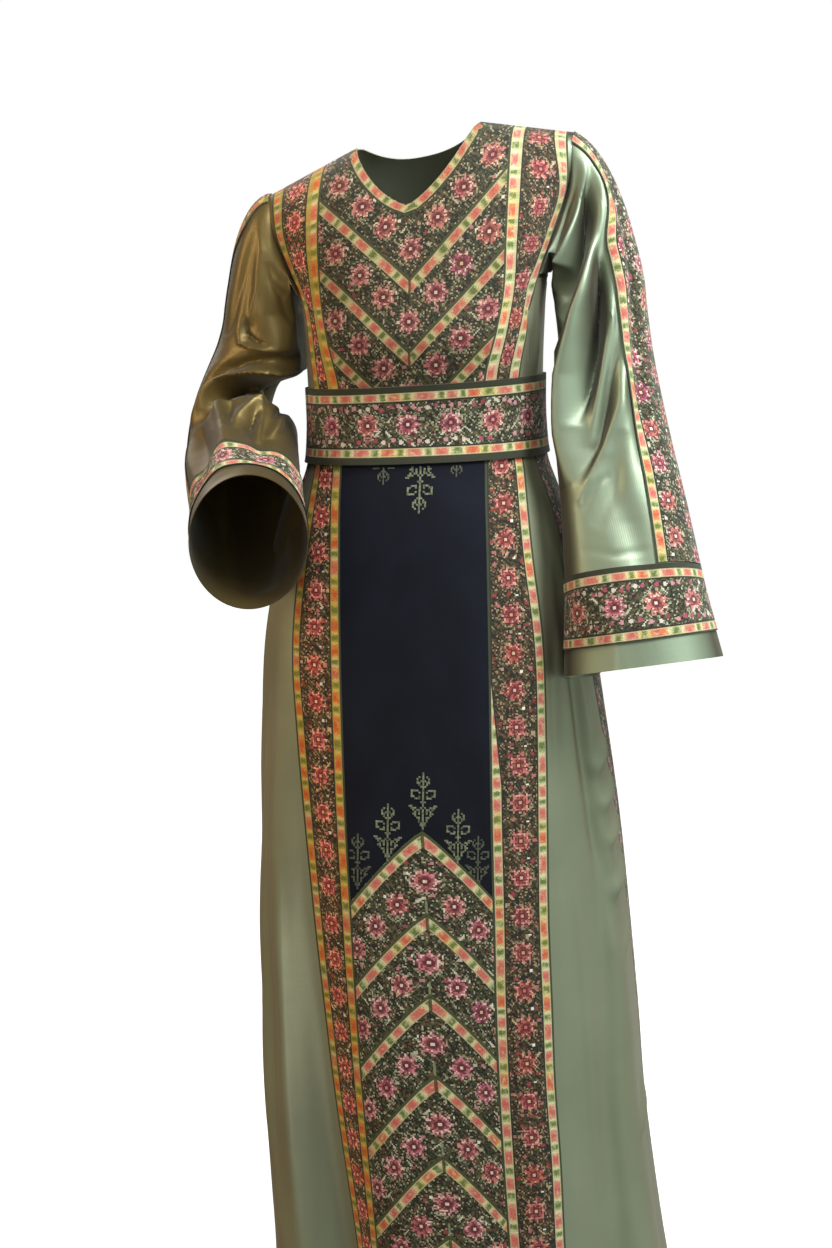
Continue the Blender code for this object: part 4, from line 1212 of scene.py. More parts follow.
def side_panel_material(name):
    """The skirt's side panels: flowers in slanting rows, darker and browner than the front, edged in dark green."""
    material, tree, shader = new_material(name)
    u, v = uv_sums(tree, "weave")
    left, right = uv_sums(tree, "edges")
    x, y = u.stitch(STITCH), v.stitch(STITCH)
    colour, single = stitched_ground(tree, x, y)
    colour = place_buds(tree, colour, x, y, 0.25)
    column = x.rounded(ROSETTE_SPACING)
    moved = y + column * (ROSETTE_SPACING / 2)
    number = moved.rounded(ROSETTE_SPACING)
    pick = chance(tree, number, column, 4.0)
    dx = (x - column * ROSETTE_SPACING).stitch(STITCH)
    dy = (moved - number * ROSETTE_SPACING).stitch(STITCH)
    colour = place_rosette(tree, colour, dx, dy, pick, single)
    for distance in (left, right):
        colour = place_border(tree, colour, distance, u, v, BEYOND_EDGE, 0.0045)
    finish_embroidery(tree, shader, colour, u, v)
    return material


def navy_material(name):
    """Matt navy cotton with a close plain weave."""
    material, tree, shader = new_material(name)
    u, v = uv_sums(tree, "weave")
    shades = ((0.3, (0.0055, 0.0065, 0.0125)), (0.7, (0.0085, 0.0100, 0.0200)))
    colour = stepped_colours(tree, cloud(tree, u, v, 14.0), shades, smooth=True)
    tree.links.new(colour, shader.inputs["Base Color"])
    shader.inputs["Roughness"].default_value = 0.80
    shader.inputs["Specular IOR Level"].default_value = 0.15
    weave = (u * 5200.0).node("SINE") * (v * 5200.0).node("SINE")
    bumped(tree, shader, weave * 0.3 + cloud(tree, u, v, 90.0) * 0.6, 0.0006, 0.5)
    return material


HEM_STITCH = slanted_material(
    "hem_stitch", sign=1, first=CHEVRON_POINT_Z, spacing=0.096, step=0.0290, slope=CHEVRON_SLOPE, row_shift=0.059,
    radius=ROSETTE_RADIUS,
)
CHEST_STITCH = slanted_material(
    "chest_stitch", sign=-1, first=V_NECK_Z, spacing=0.0830, step=0.0300, slope=1.0, row_shift=0.050,
    radius=LARGE_ROSETTE_RADIUS, top_edge=True, tone=(0.72, 0.66, 0.56),
)
BAND_L_STITCH = band_material(
    "band_left_stitch", PINK_BLOCKS, bare=(0.800, 1.085), tone=(0.88, 0.66, 0.56), wider=(0.003, 0.003)
)
BAND_R_STITCH = band_material(
    "band_right_stitch", ORANGE_BLOCKS, shift=0.02, tone=(1.40, 0.90, 0.66), wider=(0.003, 0.006)
)
SIDE_STITCH = side_panel_material("side_panel_stitch")
SLEEVE_L_STITCH = band_material("sleeve_band_left_stitch", PINK_BLOCKS, columns=2)
SLEEVE_R_STITCH = band_material("sleeve_band_right_stitch", ORANGE_BLOCKS, columns=2, serge=(0.13, 0.10, 0.045))
CUFF_STITCH = strip_material("cuff_stitch", 0.0065, 0.0020)
BELT_STITCH = strip_material("belt_stitch", 0.0075, 0.0085)
NAVY = navy_material("navy_cotton")
print("materials", len(bpy.data.materials))

# %% [markdown]
# ## The body's panels
#
# The front is a chest panel with a V neck, a plain navy centre and a pointed hem panel, between two long bands that
# run from shoulder to hem. Satin gores and stitched side panels fill the sides, and the back is satin. Each is cut
# here as its own sheet. The gap that is left at each seam is too narrow for light to come through.

# %% Front panels
PIECES = []
CHEST_MIDDLE_X = -0.007
SKIRT_TOP_Z = WAIST_SEAM_Z - SEAM_GAP / 2
BODICE_ROWS = body_rows(WAIST_SEAM_Z + SEAM_GAP / 2, ARMPIT_Z, 0.006)


def seam(column):
    """One of the front seams as a function of the level."""
    return lambda level: seam_angle(column, level)


def cloth_piece(node, slot, points, weave, edges, thickness, material, closed=False, held="hung"):
    """A sheet that stands for a node of the frame, whose solid is hidden. slot, for what it is, and held, for how it
    is held, are not used.
    """
    sheet = grid_sheet(f"{node}_sheet", points, weave, edges, thickness, material, closed)
    one = points[1:, 1:] - points[:-1, :-1]
    other = points[1:, :-1] - points[:-1, 1:]
    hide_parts(node)
    PIECES.append(node)


def centred(points):
    """UV maps of a band: across from its middle line and along from its lower end, and both edge distances."""
    weave, edges = measured(points)
    weave = np.stack([(edges[..., 0] - edges[..., 1]) / 2, weave[..., 1]], -1)
    return weave, edges


def from_middle_line(points, levels):
    """UV maps of the chest panel: across from the line of its points, and height before the stance tilts it."""
    nominal = height_of(levels)
    side = points[..., 0] - table_value(BODY, "z", "centre_x", nominal)
    upright = points[..., 2] - side * np.tan(np.radians(table_value(BODY, "z", "tilt_deg", nominal)))
    return np.stack([points[..., 0] - CHEST_MIDDLE_X, upright], -1)


def from_point_line(shares, levels):
    """UV maps of the hem panel: across from the line of the chevrons' points, which leans a little, and height."""
    height = height_of(levels)
    across = np.broadcast_to(np.interp(shares, (0, 1), CHEVRON_EDGES_X), height.shape)
    leaning = CHEVRON_POINT_X + (CHEVRON_POINT_Z - height) * 0.012
    return np.stack([across - leaning, height], -1)


def chevron_height(shares):
    """Height of the hem embroidery's pointed top edge across the front panel."""
    across = np.interp(shares, (0, 1), CHEVRON_EDGES_X)
    return CHEVRON_POINT_Z - CHEVRON_SLOPE * np.abs(across - CHEVRON_POINT_X)


def front_sheets():
    """The chest panel, the navy centre and the pointed hem panel."""
    left, right = seam("panel_r"), seam("panel_l")
    points, levels = body_grid(left, right, np.concatenate([BODICE_ROWS, yoke_rows(30)]), 49)
    middle_x = float(table_value(BODY, "z", "centre_x", 0.0))
    neckline = points[-1][np.abs(points[-1][:, 0] - middle_x) < NECK_HALF + 0.002]
    from_neckline = np.min(np.linalg.norm(points[:, :, None, :] - neckline[None, None, :, :], axis=-1), axis=2)
    weave, edges = from_middle_line(points, levels), np.stack([steps(points, 1), from_neckline], -1)
    cloth_piece("chest_panel", "embroidery", points, weave, edges, STITCHED_THICK, CHEST_STITCH)
    point = float(np.interp(CHEVRON_POINT_X, CHEVRON_EDGES_X, (0, 1)))
    shares = np.concatenate([np.linspace(0, point, 16), np.linspace(point, 1, 14)[1:]])
    edge = chevron_height(shares)
    up = np.linspace(0, 1, 80)[:, None]
    navy_levels = level_of(edge + SEAM_GAP)[None, :] * (1 - up) + level_of(SKIRT_TOP_Z) * up
    points, _ = body_grid(left, right, navy_levels, shares)
    cloth_piece("skirt_front", "navy_cloth", points, *centred(points), SATIN_THICK, NAVY)
    hem_levels = level_of(HEM_Z) * (1 - up) + level_of(edge)[None, :] * up
    points, levels = body_grid(left, right, hem_levels, shares)
    weave, edges = from_point_line(shares, levels), measured(points)[1]
    cloth_piece("hem_panel", "embroidery", points, weave, edges, STITCHED_THICK, HEM_STITCH)


front_sheets()

# %% [markdown]
# ## Stitched trees
#
# Small pale trees stand along the hem's point, and others hang from under the belt. Each is a chart of squares,
# mirrored about its middle column, and each filled square becomes one raised stitch.

# %% Trees on the navy front
TREE_CHART = """
.......# .......# .....#.# ....#..# ....#.## ....##.# .....#.# ......## .......# .####..# .#...#.#
.#.....# .##..#.# ...###.# .......# ......## .......# ##.....# .###..#. ..#.##.# ...#.#.# ..##.#.#
...#...# ....##.# .....#.# .....#.# ......## ......## .......# .......#
""".split()
TREE_ROWS, TREE_COLUMNS = len(TREE_CHART), 15
TREE_CELL = 0.00225
TREE_LIFT = 0.0002
Tree = namedtuple("Tree", "x low_z scale hanging")
TREES = table(
    Tree,
    (0.0166, -0.7950, 1.00, False),
    (-0.0249, -0.8330, 1.00, False),
    (0.0581, -0.8330, 0.94, False),
    (0.0050, -0.4300, 1.05, True),
)
FAINT_TREES = table(
    Tree,
    (-0.0610, -0.8690, 0.98, False),
    (0.0815, -0.8600, 0.88, False),
    (-0.0390, -0.3960, 0.90, True),
    (0.0470, -0.3900, 0.85, True),
)


def thread_material(name, pale, dark):
    """Cotton thread whose shade changes a little from stitch to stitch."""
    material, tree, shader = new_material(name)
    place = tree.nodes.new("ShaderNodeTexCoord")
    noise = tree.nodes.new("ShaderNodeTexNoise")
    noise.inputs["Scale"].default_value = 420.0
    noise.inputs["Detail"].default_value = 2.0
    tree.links.new(place.outputs["Object"], noise.inputs["Vector"])
    shade = stepped_colours(tree, Sum(tree, noise.outputs["Fac"]), ((0.34, dark), (0.62, pale)), smooth=True)
    tree.links.new(shade, shader.inputs["Base Color"])
    shader.inputs["Roughness"].default_value = 0.6
    shader.inputs["Sheen Weight"].default_value = 0.2
    return material


def tree_stitch_shown(tree, across, up):
    """Whether the chart fills a square, and whether the square lies on the open part of the navy front."""
    chart_row = TREE_CHART[up] if tree.hanging else TREE_CHART[TREE_ROWS - 1 - up]
    size = TREE_CELL * tree.scale
    x = tree.x + (across - TREE_COLUMNS // 2) * size
    z = tree.low_z + (up + 0.5) * size
    panel_r, panel_l = (float(table_value(SEAMS, "z", edge, z)) for edge in ("panel_r", "panel_l"))
    open_cloth = panel_r + 0.003 < x < panel_l - 0.003 and z < BELT_BOTTOM_Z - 0.003
    point_x = float(np.interp(x, (panel_r, panel_l), CHEVRON_EDGES_X))
    above_point = z > CHEVRON_POINT_Z - CHEVRON_SLOPE * abs(point_x - CHEVRON_POINT_X) + 0.002
    return chart_row[min(across, TREE_COLUMNS - 1 - across)] == "#" and open_cloth and above_point


def stitched_tree(tree):
    """One tree: a grid whose blank squares are taken out, inset square by square and laid on the cloth."""
    bpy.ops.object.select_all(action="DESELECT")
    bpy.ops.mesh.primitive_grid_add(x_subdivisions=TREE_COLUMNS, y_subdivisions=TREE_ROWS, size=2.0)
    made = bpy.context.object
    mesh = made.data
    flat = np.empty(len(mesh.vertices) * 3)
    mesh.vertices.foreach_get("co", flat)
    flat = flat.reshape(-1, 3) * (TREE_COLUMNS / 2, TREE_ROWS / 2, 0)
    mesh.vertices.foreach_set("co", flat.ravel())
    bpy.ops.object.mode_set(mode="EDIT")
    bpy.ops.mesh.select_mode(type="FACE")
    bpy.ops.mesh.select_all(action="DESELECT")
    bpy.ops.object.mode_set(mode="OBJECT")
    for face in mesh.polygons:
        middle = face.center
        across, up = int(middle.x + TREE_COLUMNS / 2), int(middle.y + TREE_ROWS / 2)
        face.select = not tree_stitch_shown(tree, across, up)
    bpy.ops.object.mode_set(mode="EDIT")
    bpy.ops.mesh.delete(type="FACE")
    bpy.ops.mesh.select_all(action="SELECT")
    bpy.ops.mesh.inset(thickness=0.16, depth=0.22, use_individual=True)
    bpy.ops.object.mode_set(mode="OBJECT")
    flat = np.empty(len(mesh.vertices) * 3)
    mesh.vertices.foreach_get("co", flat)
    flat = flat.reshape(-1, 3) * (TREE_CELL * tree.scale)
    x, z = tree.x + flat[:, 0], tree.low_z + TREE_ROWS / 2 * TREE_CELL * tree.scale + flat[:, 1]
    side = x - table_value(BODY, "z", "centre_x", z)
    share = np.abs(side) / table_value(BODY, "z", "half_width", z)
    angle = np.sign(side) * np.arcsin(share ** (BODY_SQUARENESS / 2))
    points = garment_point(angle, level_of(z)) + (TREE_LIFT + flat[:, 2])[:, None] * body_normal(angle, level_of(z))
    mesh.vertices.foreach_set("co", points.ravel())
    mesh.update()
    return made


def tree_piece(name, trees, material):
    """A group of trees, joined into one piece of stitching."""
    made = [stitched_tree(tree) for tree in trees]
    bpy.ops.object.select_all(action="DESELECT")
    for tree in made:
        tree.select_set(True)
    bpy.context.view_layer.objects.active = made[0]
    bpy.ops.object.join()
    piece = bpy.context.object
    piece.name = name
    piece.data.materials.append(material)
    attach(piece, "root")
    print(name, "stitches", len(piece.data.polygons) // 5)


tree_piece("stitched_trees", TREES, thread_material("sage_thread", (0.235, 0.255, 0.165), (0.055, 0.062, 0.038)))
tree_piece("faint_trees", FAINT_TREES, thread_material("faint_thread", (0.105, 0.112, 0.075), (0.024, 0.027, 0.020)))

# %% Bands, gores, side panels and backs


def side_sheets(side, band_stitch, gore_satin):
    """One side's long band, the satin under the arm, the gore and the stitched side panel."""

    def between(inner, outer, rows, columns):
        """The grid between two edges, the first of them nearer the middle of the front."""
        return body_grid(*((inner, outer) if side == "l" else (outer, inner)), rows, columns)[0]

    def under_arm(level):
        return np.full(np.shape(level), math.pi / 2 if side == "l" else -math.pi / 2)

    def panel_front(level):
        return side_angle("front_deg", side, level)

    def panel_back(level):
        return side_angle("back_deg", side, level)

    whole = np.concatenate([body_rows(HEM_Z, ARMPIT_Z), yoke_rows()])
    skirt = body_rows(HEM_Z, SKIRT_TOP_Z, 0.006)
    band_outer = seam(f"band_{side}")
    points = between(seam(f"panel_{side}"), band_outer, whole, 13)
    cloth_piece(f"front_band_{side}", "embroidery", points, *centred(points), STITCHED_THICK, band_stitch)
    points = between(band_outer, under_arm, BODICE_ROWS, 25)
    cloth_piece(f"bodice_side_{side}", "satin", points, *measured(points), SATIN_THICK, SATIN_PAINTED_SIDE_SHADING)
    points = between(band_outer, panel_front, skirt, 35)
    cloth_piece(f"skirt_gore_{side}", "satin", points, *measured(points), SATIN_THICK, gore_satin)
    points = between(panel_front, panel_back, skirt, 19)
    cloth_piece(f"side_panel_{side}", "embroidery", points, *centred(points), STITCHED_THICK, SIDE_STITCH)


def armhole_back_angle(side, level):
    """The back edge of the armhole, which lies opposite the band's outer edge."""
    angle = seam_angle(f"band_{side}", level)
    turned = math.pi - np.abs(angle)
    return turned if side == "l" else -turned


def bodice_back_edge(side, level):
    """The bodice back's edge: straight at the side below the armpit, then along the armhole."""
    straight = math.pi / 2 if side == "l" else -math.pi / 2
    share = smooth_step(-0.004, 0.0, level)
    return straight + (armhole_back_angle(side, level) - straight) * share


def skirt_back_edge(side, level):
    """The skirt back's edge, which is the back edge of the side panel."""
    return side_angle("back_deg", side, level)


def back_sheet(node, edge, rows, columns, satin):
    """A satin piece of the back, from the edge on the wearer's left round to the one on the right."""
    left = lambda level: edge("l", level)
    right = lambda level: edge("r", level) + 2 * math.pi
    points, _ = body_grid(left, right, rows, columns)
    cloth_piece(node, "satin", points, *measured(points), SATIN_THICK, satin)


# The skirt's satin carries painted shade; the side satin, on the right gore, the bodice sides and the bodice back,
# carries painted light and shade.
side_sheets("l", BAND_L_STITCH, SATIN_PAINTED_SKIRT_SHADE)
side_sheets("r", BAND_R_STITCH, SATIN_PAINTED_SIDE_SHADING)
back_sheet("skirt_back", skirt_back_edge, body_rows(HEM_Z, SKIRT_TOP_Z, 0.0075), 125, SATIN_PAINTED_SKIRT_SHADE)
back_sheet("bodice_back", bodice_back_edge, np.concatenate([BODICE_ROWS, yoke_rows()]), 71, SATIN_PAINTED_SIDE_SHADING)

# %% [markdown]
# ## The belt
#
# The belt is a stitched strip that goes once round the waist and laps over itself at the back. It lies over the
# waist seam, a little proud of the dress, and keeps its ribbons parallel to its edges.

# %% Belt
BELT_LAP = 0.045
BELT_LAP_GAP = 0.6 * MM
BELT_LAP_RISE = BELT_THICK + BELT_LAP_GAP + 0.0004
BELT_START_DEG = 196.0


def belt_sheet():
    """The belt's strip, with its end lifted over its start."""
    start = math.radians(BELT_START_DEG)
    lap = BELT_LAP / float(table_value(BODY, "z", "back_depth", WAIST_SEAM_Z))
    angle = start + np.linspace(0, 2 * math.pi + lap, 241)
    once_round = start + 2 * math.pi
    rise = BELT_LAP_RISE * smooth_step(once_round - 0.9 * lap, once_round - 0.1 * lap, angle)
    levels = level_of(np.linspace(BELT_BOTTOM_Z, BELT_TOP_Z, 17))
    angle, levels = np.meshgrid(angle, levels)
    lift = BELT_GAP + BELT_THICK + np.broadcast_to(rise, angle.shape)[..., None]
    points = garment_point(angle, levels) + lift * body_normal(angle, levels)
    across, up = steps(points, 1), steps(points, 0)
    weave = np.stack([np.broadcast_to(across[8:9], across.shape), up], -1)
    edges = np.stack([up, up[-1:] - up], -1)
    cloth_piece("belt", "embroidery", points, weave, edges, BELT_THICK, BELT_STITCH, held="stretched")


belt_sheet()

# %% [markdown]
# ## The sleeves
#
# Each sleeve is a wide satin tube set into the armhole. The one on the wearer's left hangs down, and the other is
# bent at the elbow, so its cloth rolls into deep folds there. A stitched band lies down the outside of each, and
# another goes round above the cuff.

# %% Sleeve sizes
SleeveRow = namedtuple("SleeveRow", "along x y z wide deep front_y front_z")
SLEEVE_ROWS = {}
SLEEVE_ROWS["l"] = table(
    SleeveRow,
    (0.00, 0.162, 0.002, -0.072, 0.080, 0.056, -1.0, 0.0),
    (0.12, 0.191, -0.002, -0.092, 0.070, 0.060, -1.0, 0.0),
    (0.25, 0.200, -0.008, -0.150, 0.056, 0.062, -1.0, 0.0),
    (0.40, 0.211, -0.014, -0.240, 0.055, 0.064, -1.0, 0.0),
    (0.56, 0.225, -0.032, -0.340, 0.063, 0.066, -1.0, 0.1),
    (0.72, 0.242, -0.062, -0.440, 0.073, 0.070, -1.0, 0.2),
    (0.86, 0.255, -0.086, -0.530, 0.083, 0.076, -1.0, 0.2),
    (1.00, 0.267, -0.098, -0.608, 0.094, 0.082, -1.0, 0.2),
)
SLEEVE_ROWS["r"] = table(
    SleeveRow,
    (0.00, -0.180, 0.002, -0.106, 0.080, 0.056, -1.0, 0.0),
    (0.12, -0.198, 0.004, -0.132, 0.068, 0.062, -1.0, 0.0),
    (0.25, -0.200, 0.012, -0.183, 0.050, 0.064, -1.0, 0.0),
    (0.40, -0.206, 0.016, -0.252, 0.055, 0.066, -1.0, 0.1),
    (0.54, -0.225, 0.000, -0.324, 0.062, 0.070, -0.8, 0.6),
    (0.70, -0.214, -0.062, -0.386, 0.069, 0.074, -0.3, 0.95),
    (0.85, -0.196, -0.132, -0.427, 0.067, 0.082, -0.1, 1.0),
    (1.00, -0.182, -0.200, -0.458, 0.069, 0.090, 0.0, 1.0),
)
ARMHOLE_FRONT_END_DEG = 130.0
ARMHOLE_BACK_START_DEG = 230.0
SLEEVE_BLEND_END = 0.30
SLEEVE_BODY_GAP = 0.009
FIRST_BODY_GAP = 0.004
CLEAR_TOP_Z = -0.11
FIRST_RING_OUT = 0.005
SleeveFold = namedtuple("SleeveFold", "start_deg end_deg start end width_deg push")
SLEEVE_FOLDS = {}
SLEEVE_FOLDS["l"] = table(
    SleeveFold,
    (62, 112, 0.03, 0.66, 13, -0.014),
    (38, 84, 0.03, 0.74, 12, 0.009),
    (20, 60, 0.06, 0.66, 12, -0.008),
    (150, 128, 0.30, 0.95, 18, 0.008),
    (96, 66, 0.62, 0.93, 14, -0.006),
    (230, 250, 0.10, 0.85, 18, -0.010),
    (290, 285, 0.05, 0.80, 17, -0.010),
    (262, 268, 0.15, 0.95, 15, 0.008),
)
SLEEVE_FOLDS["r"] = table(
    SleeveFold,
    (60, 84, 0.03, 0.40, 15, -0.007),
    (128, 110, 0.28, 0.47, 26, 0.012),
    (100, 70, 0.44, 0.60, 22, -0.022),
    (198, 192, 0.41, 0.591, 58, -0.049),
    (40, 34, 0.52, 0.95, 14, -0.008),
    (75, 62, 0.60, 0.98, 14, 0.008),
    (112, 100, 0.62, 0.95, 13, -0.009),
    (240, 262, 0.55, 0.95, 22, 0.010),
    (300, 305, 0.08, 0.70, 16, -0.010),
    (205, 215, 0.62, 0.98, 16, -0.008),
)
SLEEVE_DRAPES = {}
SLEEVE_DRAPES["l"] = table(
    Drape,
    # from the shoulder: the first shadow, a thin bright ridge, the deep shadowed valley and the bright ridge beside it
    (((52, 0.085), (96, 0.112), (136, 0.20), (180, 0.27)), 0.0070, -0.0110),
    (((40, 0.105), (80, 0.137), (118, 0.210), (172, 0.285)), 0.0065, 0.0120),
    (((30, 0.120), (71, 0.155), (102, 0.222), (148, 0.312), (166, 0.39)), 0.0125, -0.0430),
    (((20, 0.135), (60, 0.165), (86, 0.232), (110, 0.33), (132, 0.45), (140, 0.56), (140, 0.66)), 0.0125, 0.0270),
    (((128, 0.235), (150, 0.275), (170, 0.33)), 0.0120, -0.0200),
    (((74, 0.25), (88, 0.335), (110, 0.45), (126, 0.55)), 0.0085, -0.0230),
    (((66, 0.24), (74, 0.35), (94, 0.475), (114, 0.60)), 0.0085, 0.0130),
    (((62, 0.30), (62, 0.42), (66, 0.52)), 0.0060, -0.0060),
    # the drape that swings from the band to the inner edge above the cuff
    (((62, 0.44), (78, 0.53), (100, 0.61), (128, 0.70)), 0.0090, 0.0080),
    (((60, 0.38), (80, 0.47), (104, 0.59), (130, 0.66)), 0.0075, -0.0075),
    (((74, 0.58), (92, 0.67), (116, 0.745)), 0.0120, -0.0045),
    (((128, 0.71), (108, 0.665), (96, 0.655)), 0.0035, -0.0035),
    (((66, 0.79), (100, 0.795), (130, 0.775)), 0.0030, -0.0016),
    # the inner edge and the back
    (((150, 0.28), (158, 0.50), (160, 0.85)), 0.0120, 0.0060),
    (((172, 0.30), (176, 0.60), (178, 0.95)), 0.0120, -0.0060),
    (((104, 0.88), (106, 1.04)), 0.0100, 0.0035),
    (((262, 0.02), (250, 0.25), (236, 0.50)), 0.0090, -0.0090),
    (((276, 0.05), (268, 0.30), (250, 0.62)), 0.0090, 0.0080),
    (((300, 0.10), (288, 0.40), (270, 0.74)), 0.0110, -0.0070),
    (((220, 0.40), (236, 0.70), (240, 0.98)), 0.0120, 0.0070),
)
SLEEVE_DRAPES["r"] = table(
    Drape,
    # the roll at the elbow, with the dark crease above it and the hollow under it
    (((168, 0.385), (142, 0.395), (114, 0.408), (90, 0.428), (68, 0.458), (48, 0.50), (30, 0.545)), 0.0090, -0.0110),
    (
        ((190, 0.42), (144, 0.428), (120, 0.440), (98, 0.455), (78, 0.477), (64, 0.507), (44, 0.56), (20, 0.60)),
        0.0095,
        0.0190,
    ),
    (((180, 0.472), (120, 0.484), (98, 0.500), (76, 0.527), (62, 0.570), (44, 0.63)), 0.0120, -0.0210),
    # folds of the forearm that fan out under the roll
    (((66, 0.54), (70, 0.62), (74, 0.70), (70, 0.84)), 0.0070, 0.0085),
    (((138, 0.50), (104, 0.63), (86, 0.685), (80, 0.74)), 0.0070, 0.0085),
    (((122, 0.56), (118, 0.595), (110, 0.675), (104, 0.785)), 0.0055, 0.0070),
    (((118, 0.62), (108, 0.66), (98, 0.72), (94, 0.79)), 0.0050, -0.0080),
    (((88, 0.58), (80, 0.66), (78, 0.75)), 0.0060, -0.0080),
    (((156, 0.595), (134, 0.655), (116, 0.755)), 0.0055, 0.0070),
    (((158, 0.56), (142, 0.61), (128, 0.66)), 0.0055, -0.0070),
    (((34, 0.63), (46, 0.72), (54, 0.845)), 0.0130, -0.0060),
    (((16, 0.64), (24, 0.76), (30, 0.90)), 0.0120, 0.0050),
    # pulls that run down from the shoulder and the armpit
    (((48, 0.085), (78, 0.14), (84, 0.23), (76, 0.31)), 0.0085, 0.0050),
    (((92, 0.155), (102, 0.195), (122, 0.23), (140, 0.30)), 0.0080, -0.0055),
    (((70, 0.29), (76, 0.34), (92, 0.36), (108, 0.365)), 0.0050, -0.0060),
    (((62, 0.32), (72, 0.375), (92, 0.39), (120, 0.385)), 0.0060, 0.0045),
    (((60, 0.12), (56, 0.22), (44, 0.36)), 0.0110, -0.0050),
    # the forearm's underside and the back
    (((180, 0.60), (176, 0.75), (172, 0.95)), 0.0120, -0.0060),
    (((208, 0.60), (204, 0.75), (200, 0.96)), 0.0130, 0.0060),
    (((262, 0.02), (250, 0.22), (236, 0.40)), 0.0100, -0.0080),
    (((284, 0.06), (274, 0.30), (258, 0.50)), 0.0100, 0.0070),
    (((300, 0.45), (292, 0.70), (290, 0.95)), 0.0120, -0.0060),
    (((240, 0.46), (246, 0.70), (250, 0.94)), 0.0120, 0.0060),
)
SLEEVE_RADIUS, SLEEVE_LENGTH = 0.068, 0.62
BAND_DEGREES = {"l": (-10.83, 65.0), "r": (-65.0, 10.83)}
BAND_EDGE_TURN_DEG = {"l": -27.0, "r": 24.0}
print("sleeve drapes", len(SLEEVE_DRAPES["l"]) + len(SLEEVE_DRAPES["r"]))

# %% Sleeve surface


def armhole_edge(side, degrees):
    """The armhole's edge at angles round it, and the direction that leads away from the body there."""
    levels = np.concatenate([yoke_rows()[::-1], [0.0]])
    front_deg = np.linspace(0, ARMHOLE_FRONT_END_DEG, len(levels))
    back_deg = 360 - front_deg
    front = seam_angle(f"band_{side}", levels)
    back = armhole_back_angle(side, levels)
    under_deg = np.linspace(ARMHOLE_FRONT_END_DEG, ARMHOLE_BACK_START_DEG, 17)[1:-1]
    under = np.interp(under_deg, (ARMHOLE_FRONT_END_DEG, ARMHOLE_BACK_START_DEG), (front[-1], back[-1]))
    knots = np.concatenate([front_deg, under_deg, back_deg[::-1]])
    angle = np.concatenate([front, under, back[::-1]])
    level = np.concatenate([levels, np.zeros(len(under)), levels[::-1]])
    outer = garment_point(angle, level)
    step = 1e-4
    sign = np.sign(front[0])
    below = np.minimum(level, 1 - 30 * step)
    sideways = sign * unit(garment_point(angle + step, below) - garment_point(angle - step, below))
    sideways = np.where((knots > 180)[:, None], -sideways, sideways)
    from_outside = 180 - np.abs(knots - 180)
    share = smooth_step(ARMHOLE_FRONT_END_DEG - 12, ARMHOLE_FRONT_END_DEG + 6, from_outside)[:, None]
    away = unit(sideways * (1 - share) + np.array([0, 0, 1.0]) * share)
    read = lambda values: np.stack([np.interp(degrees, knots, values[:, k]) for k in range(3)], axis=-1)
    return read(outer), unit(read(away))


def keep_clear(points, gap):
    """Points moved out until they stand clear of the body by a gap."""
    low_z = np.minimum(points[..., 2], CLEAR_TOP_Z)
    centre = table_value(BODY, "z", "centre_x", low_z)
    tilt = np.radians(table_value(BODY, "z", "tilt_deg", low_z))
    side = points[..., 0] - centre
    z = low_z - side * np.tan(tilt)
    half = table_value(BODY, "z", "half_width", z) + gap
    front = table_value(BODY, "z", "front_depth", z)
    back = table_value(BODY, "z", "back_depth", z)
    deep = np.where(points[..., 1] < 0, front, back) + gap
    size = np.abs(side / half) ** BODY_SQUARENESS + np.abs(points[..., 1] / deep) ** BODY_SQUARENESS
    size = np.maximum(size, 1e-9) ** (1 / BODY_SQUARENESS)
    needed = smooth_step(CLEAR_TOP_Z + 0.03, CLEAR_TOP_Z, points[..., 2])
    grow = np.where(size < 1, 1 + (1 / size - 1) * needed, 1.0)
    moved = points.copy()
    moved[..., 0] = centre + side * grow
    moved[..., 1] = points[..., 1] * grow
    return moved


def band_edge(side, along):
    """The angle of a sleeve band's front edge, which turns under or in near the shoulder."""
    return BAND_DEGREES[side][1] + BAND_EDGE_TURN_DEG[side] * smooth_step(0.235, 0.125, along)


def sleeve_push(side, degrees, along):
    """How far the folds and the drapes move a sleeve's wall out. None of the left one's drapes lies under its band."""
    total = np.zeros(np.broadcast(degrees, along).shape)
    for fold in SLEEVE_FOLDS[side]:
        share = (along - fold.start) / (fold.end - fold.start)
        middle = fold.start_deg + (fold.end_deg - fold.start_deg) * np.clip(share, 0, 1)
        across = wrapped(degrees - middle) / fold.width_deg
        window = np.sin(np.pi * np.clip(share, 0, 1)) ** 0.8
        total = total + fold.push * window * np.exp(-across * across)
    draped = drape_push(SLEEVE_DRAPES[side], degrees, along, SLEEVE_RADIUS, SLEEVE_LENGTH)
    if side == "l":
        edge = band_edge("l", along)
        front, back = smooth_step(edge - 5, edge + 9, wrapped(degrees)), smooth_step(-10, -30, wrapped(degrees))
        draped = np.maximum(front, back) * draped
    return total + draped


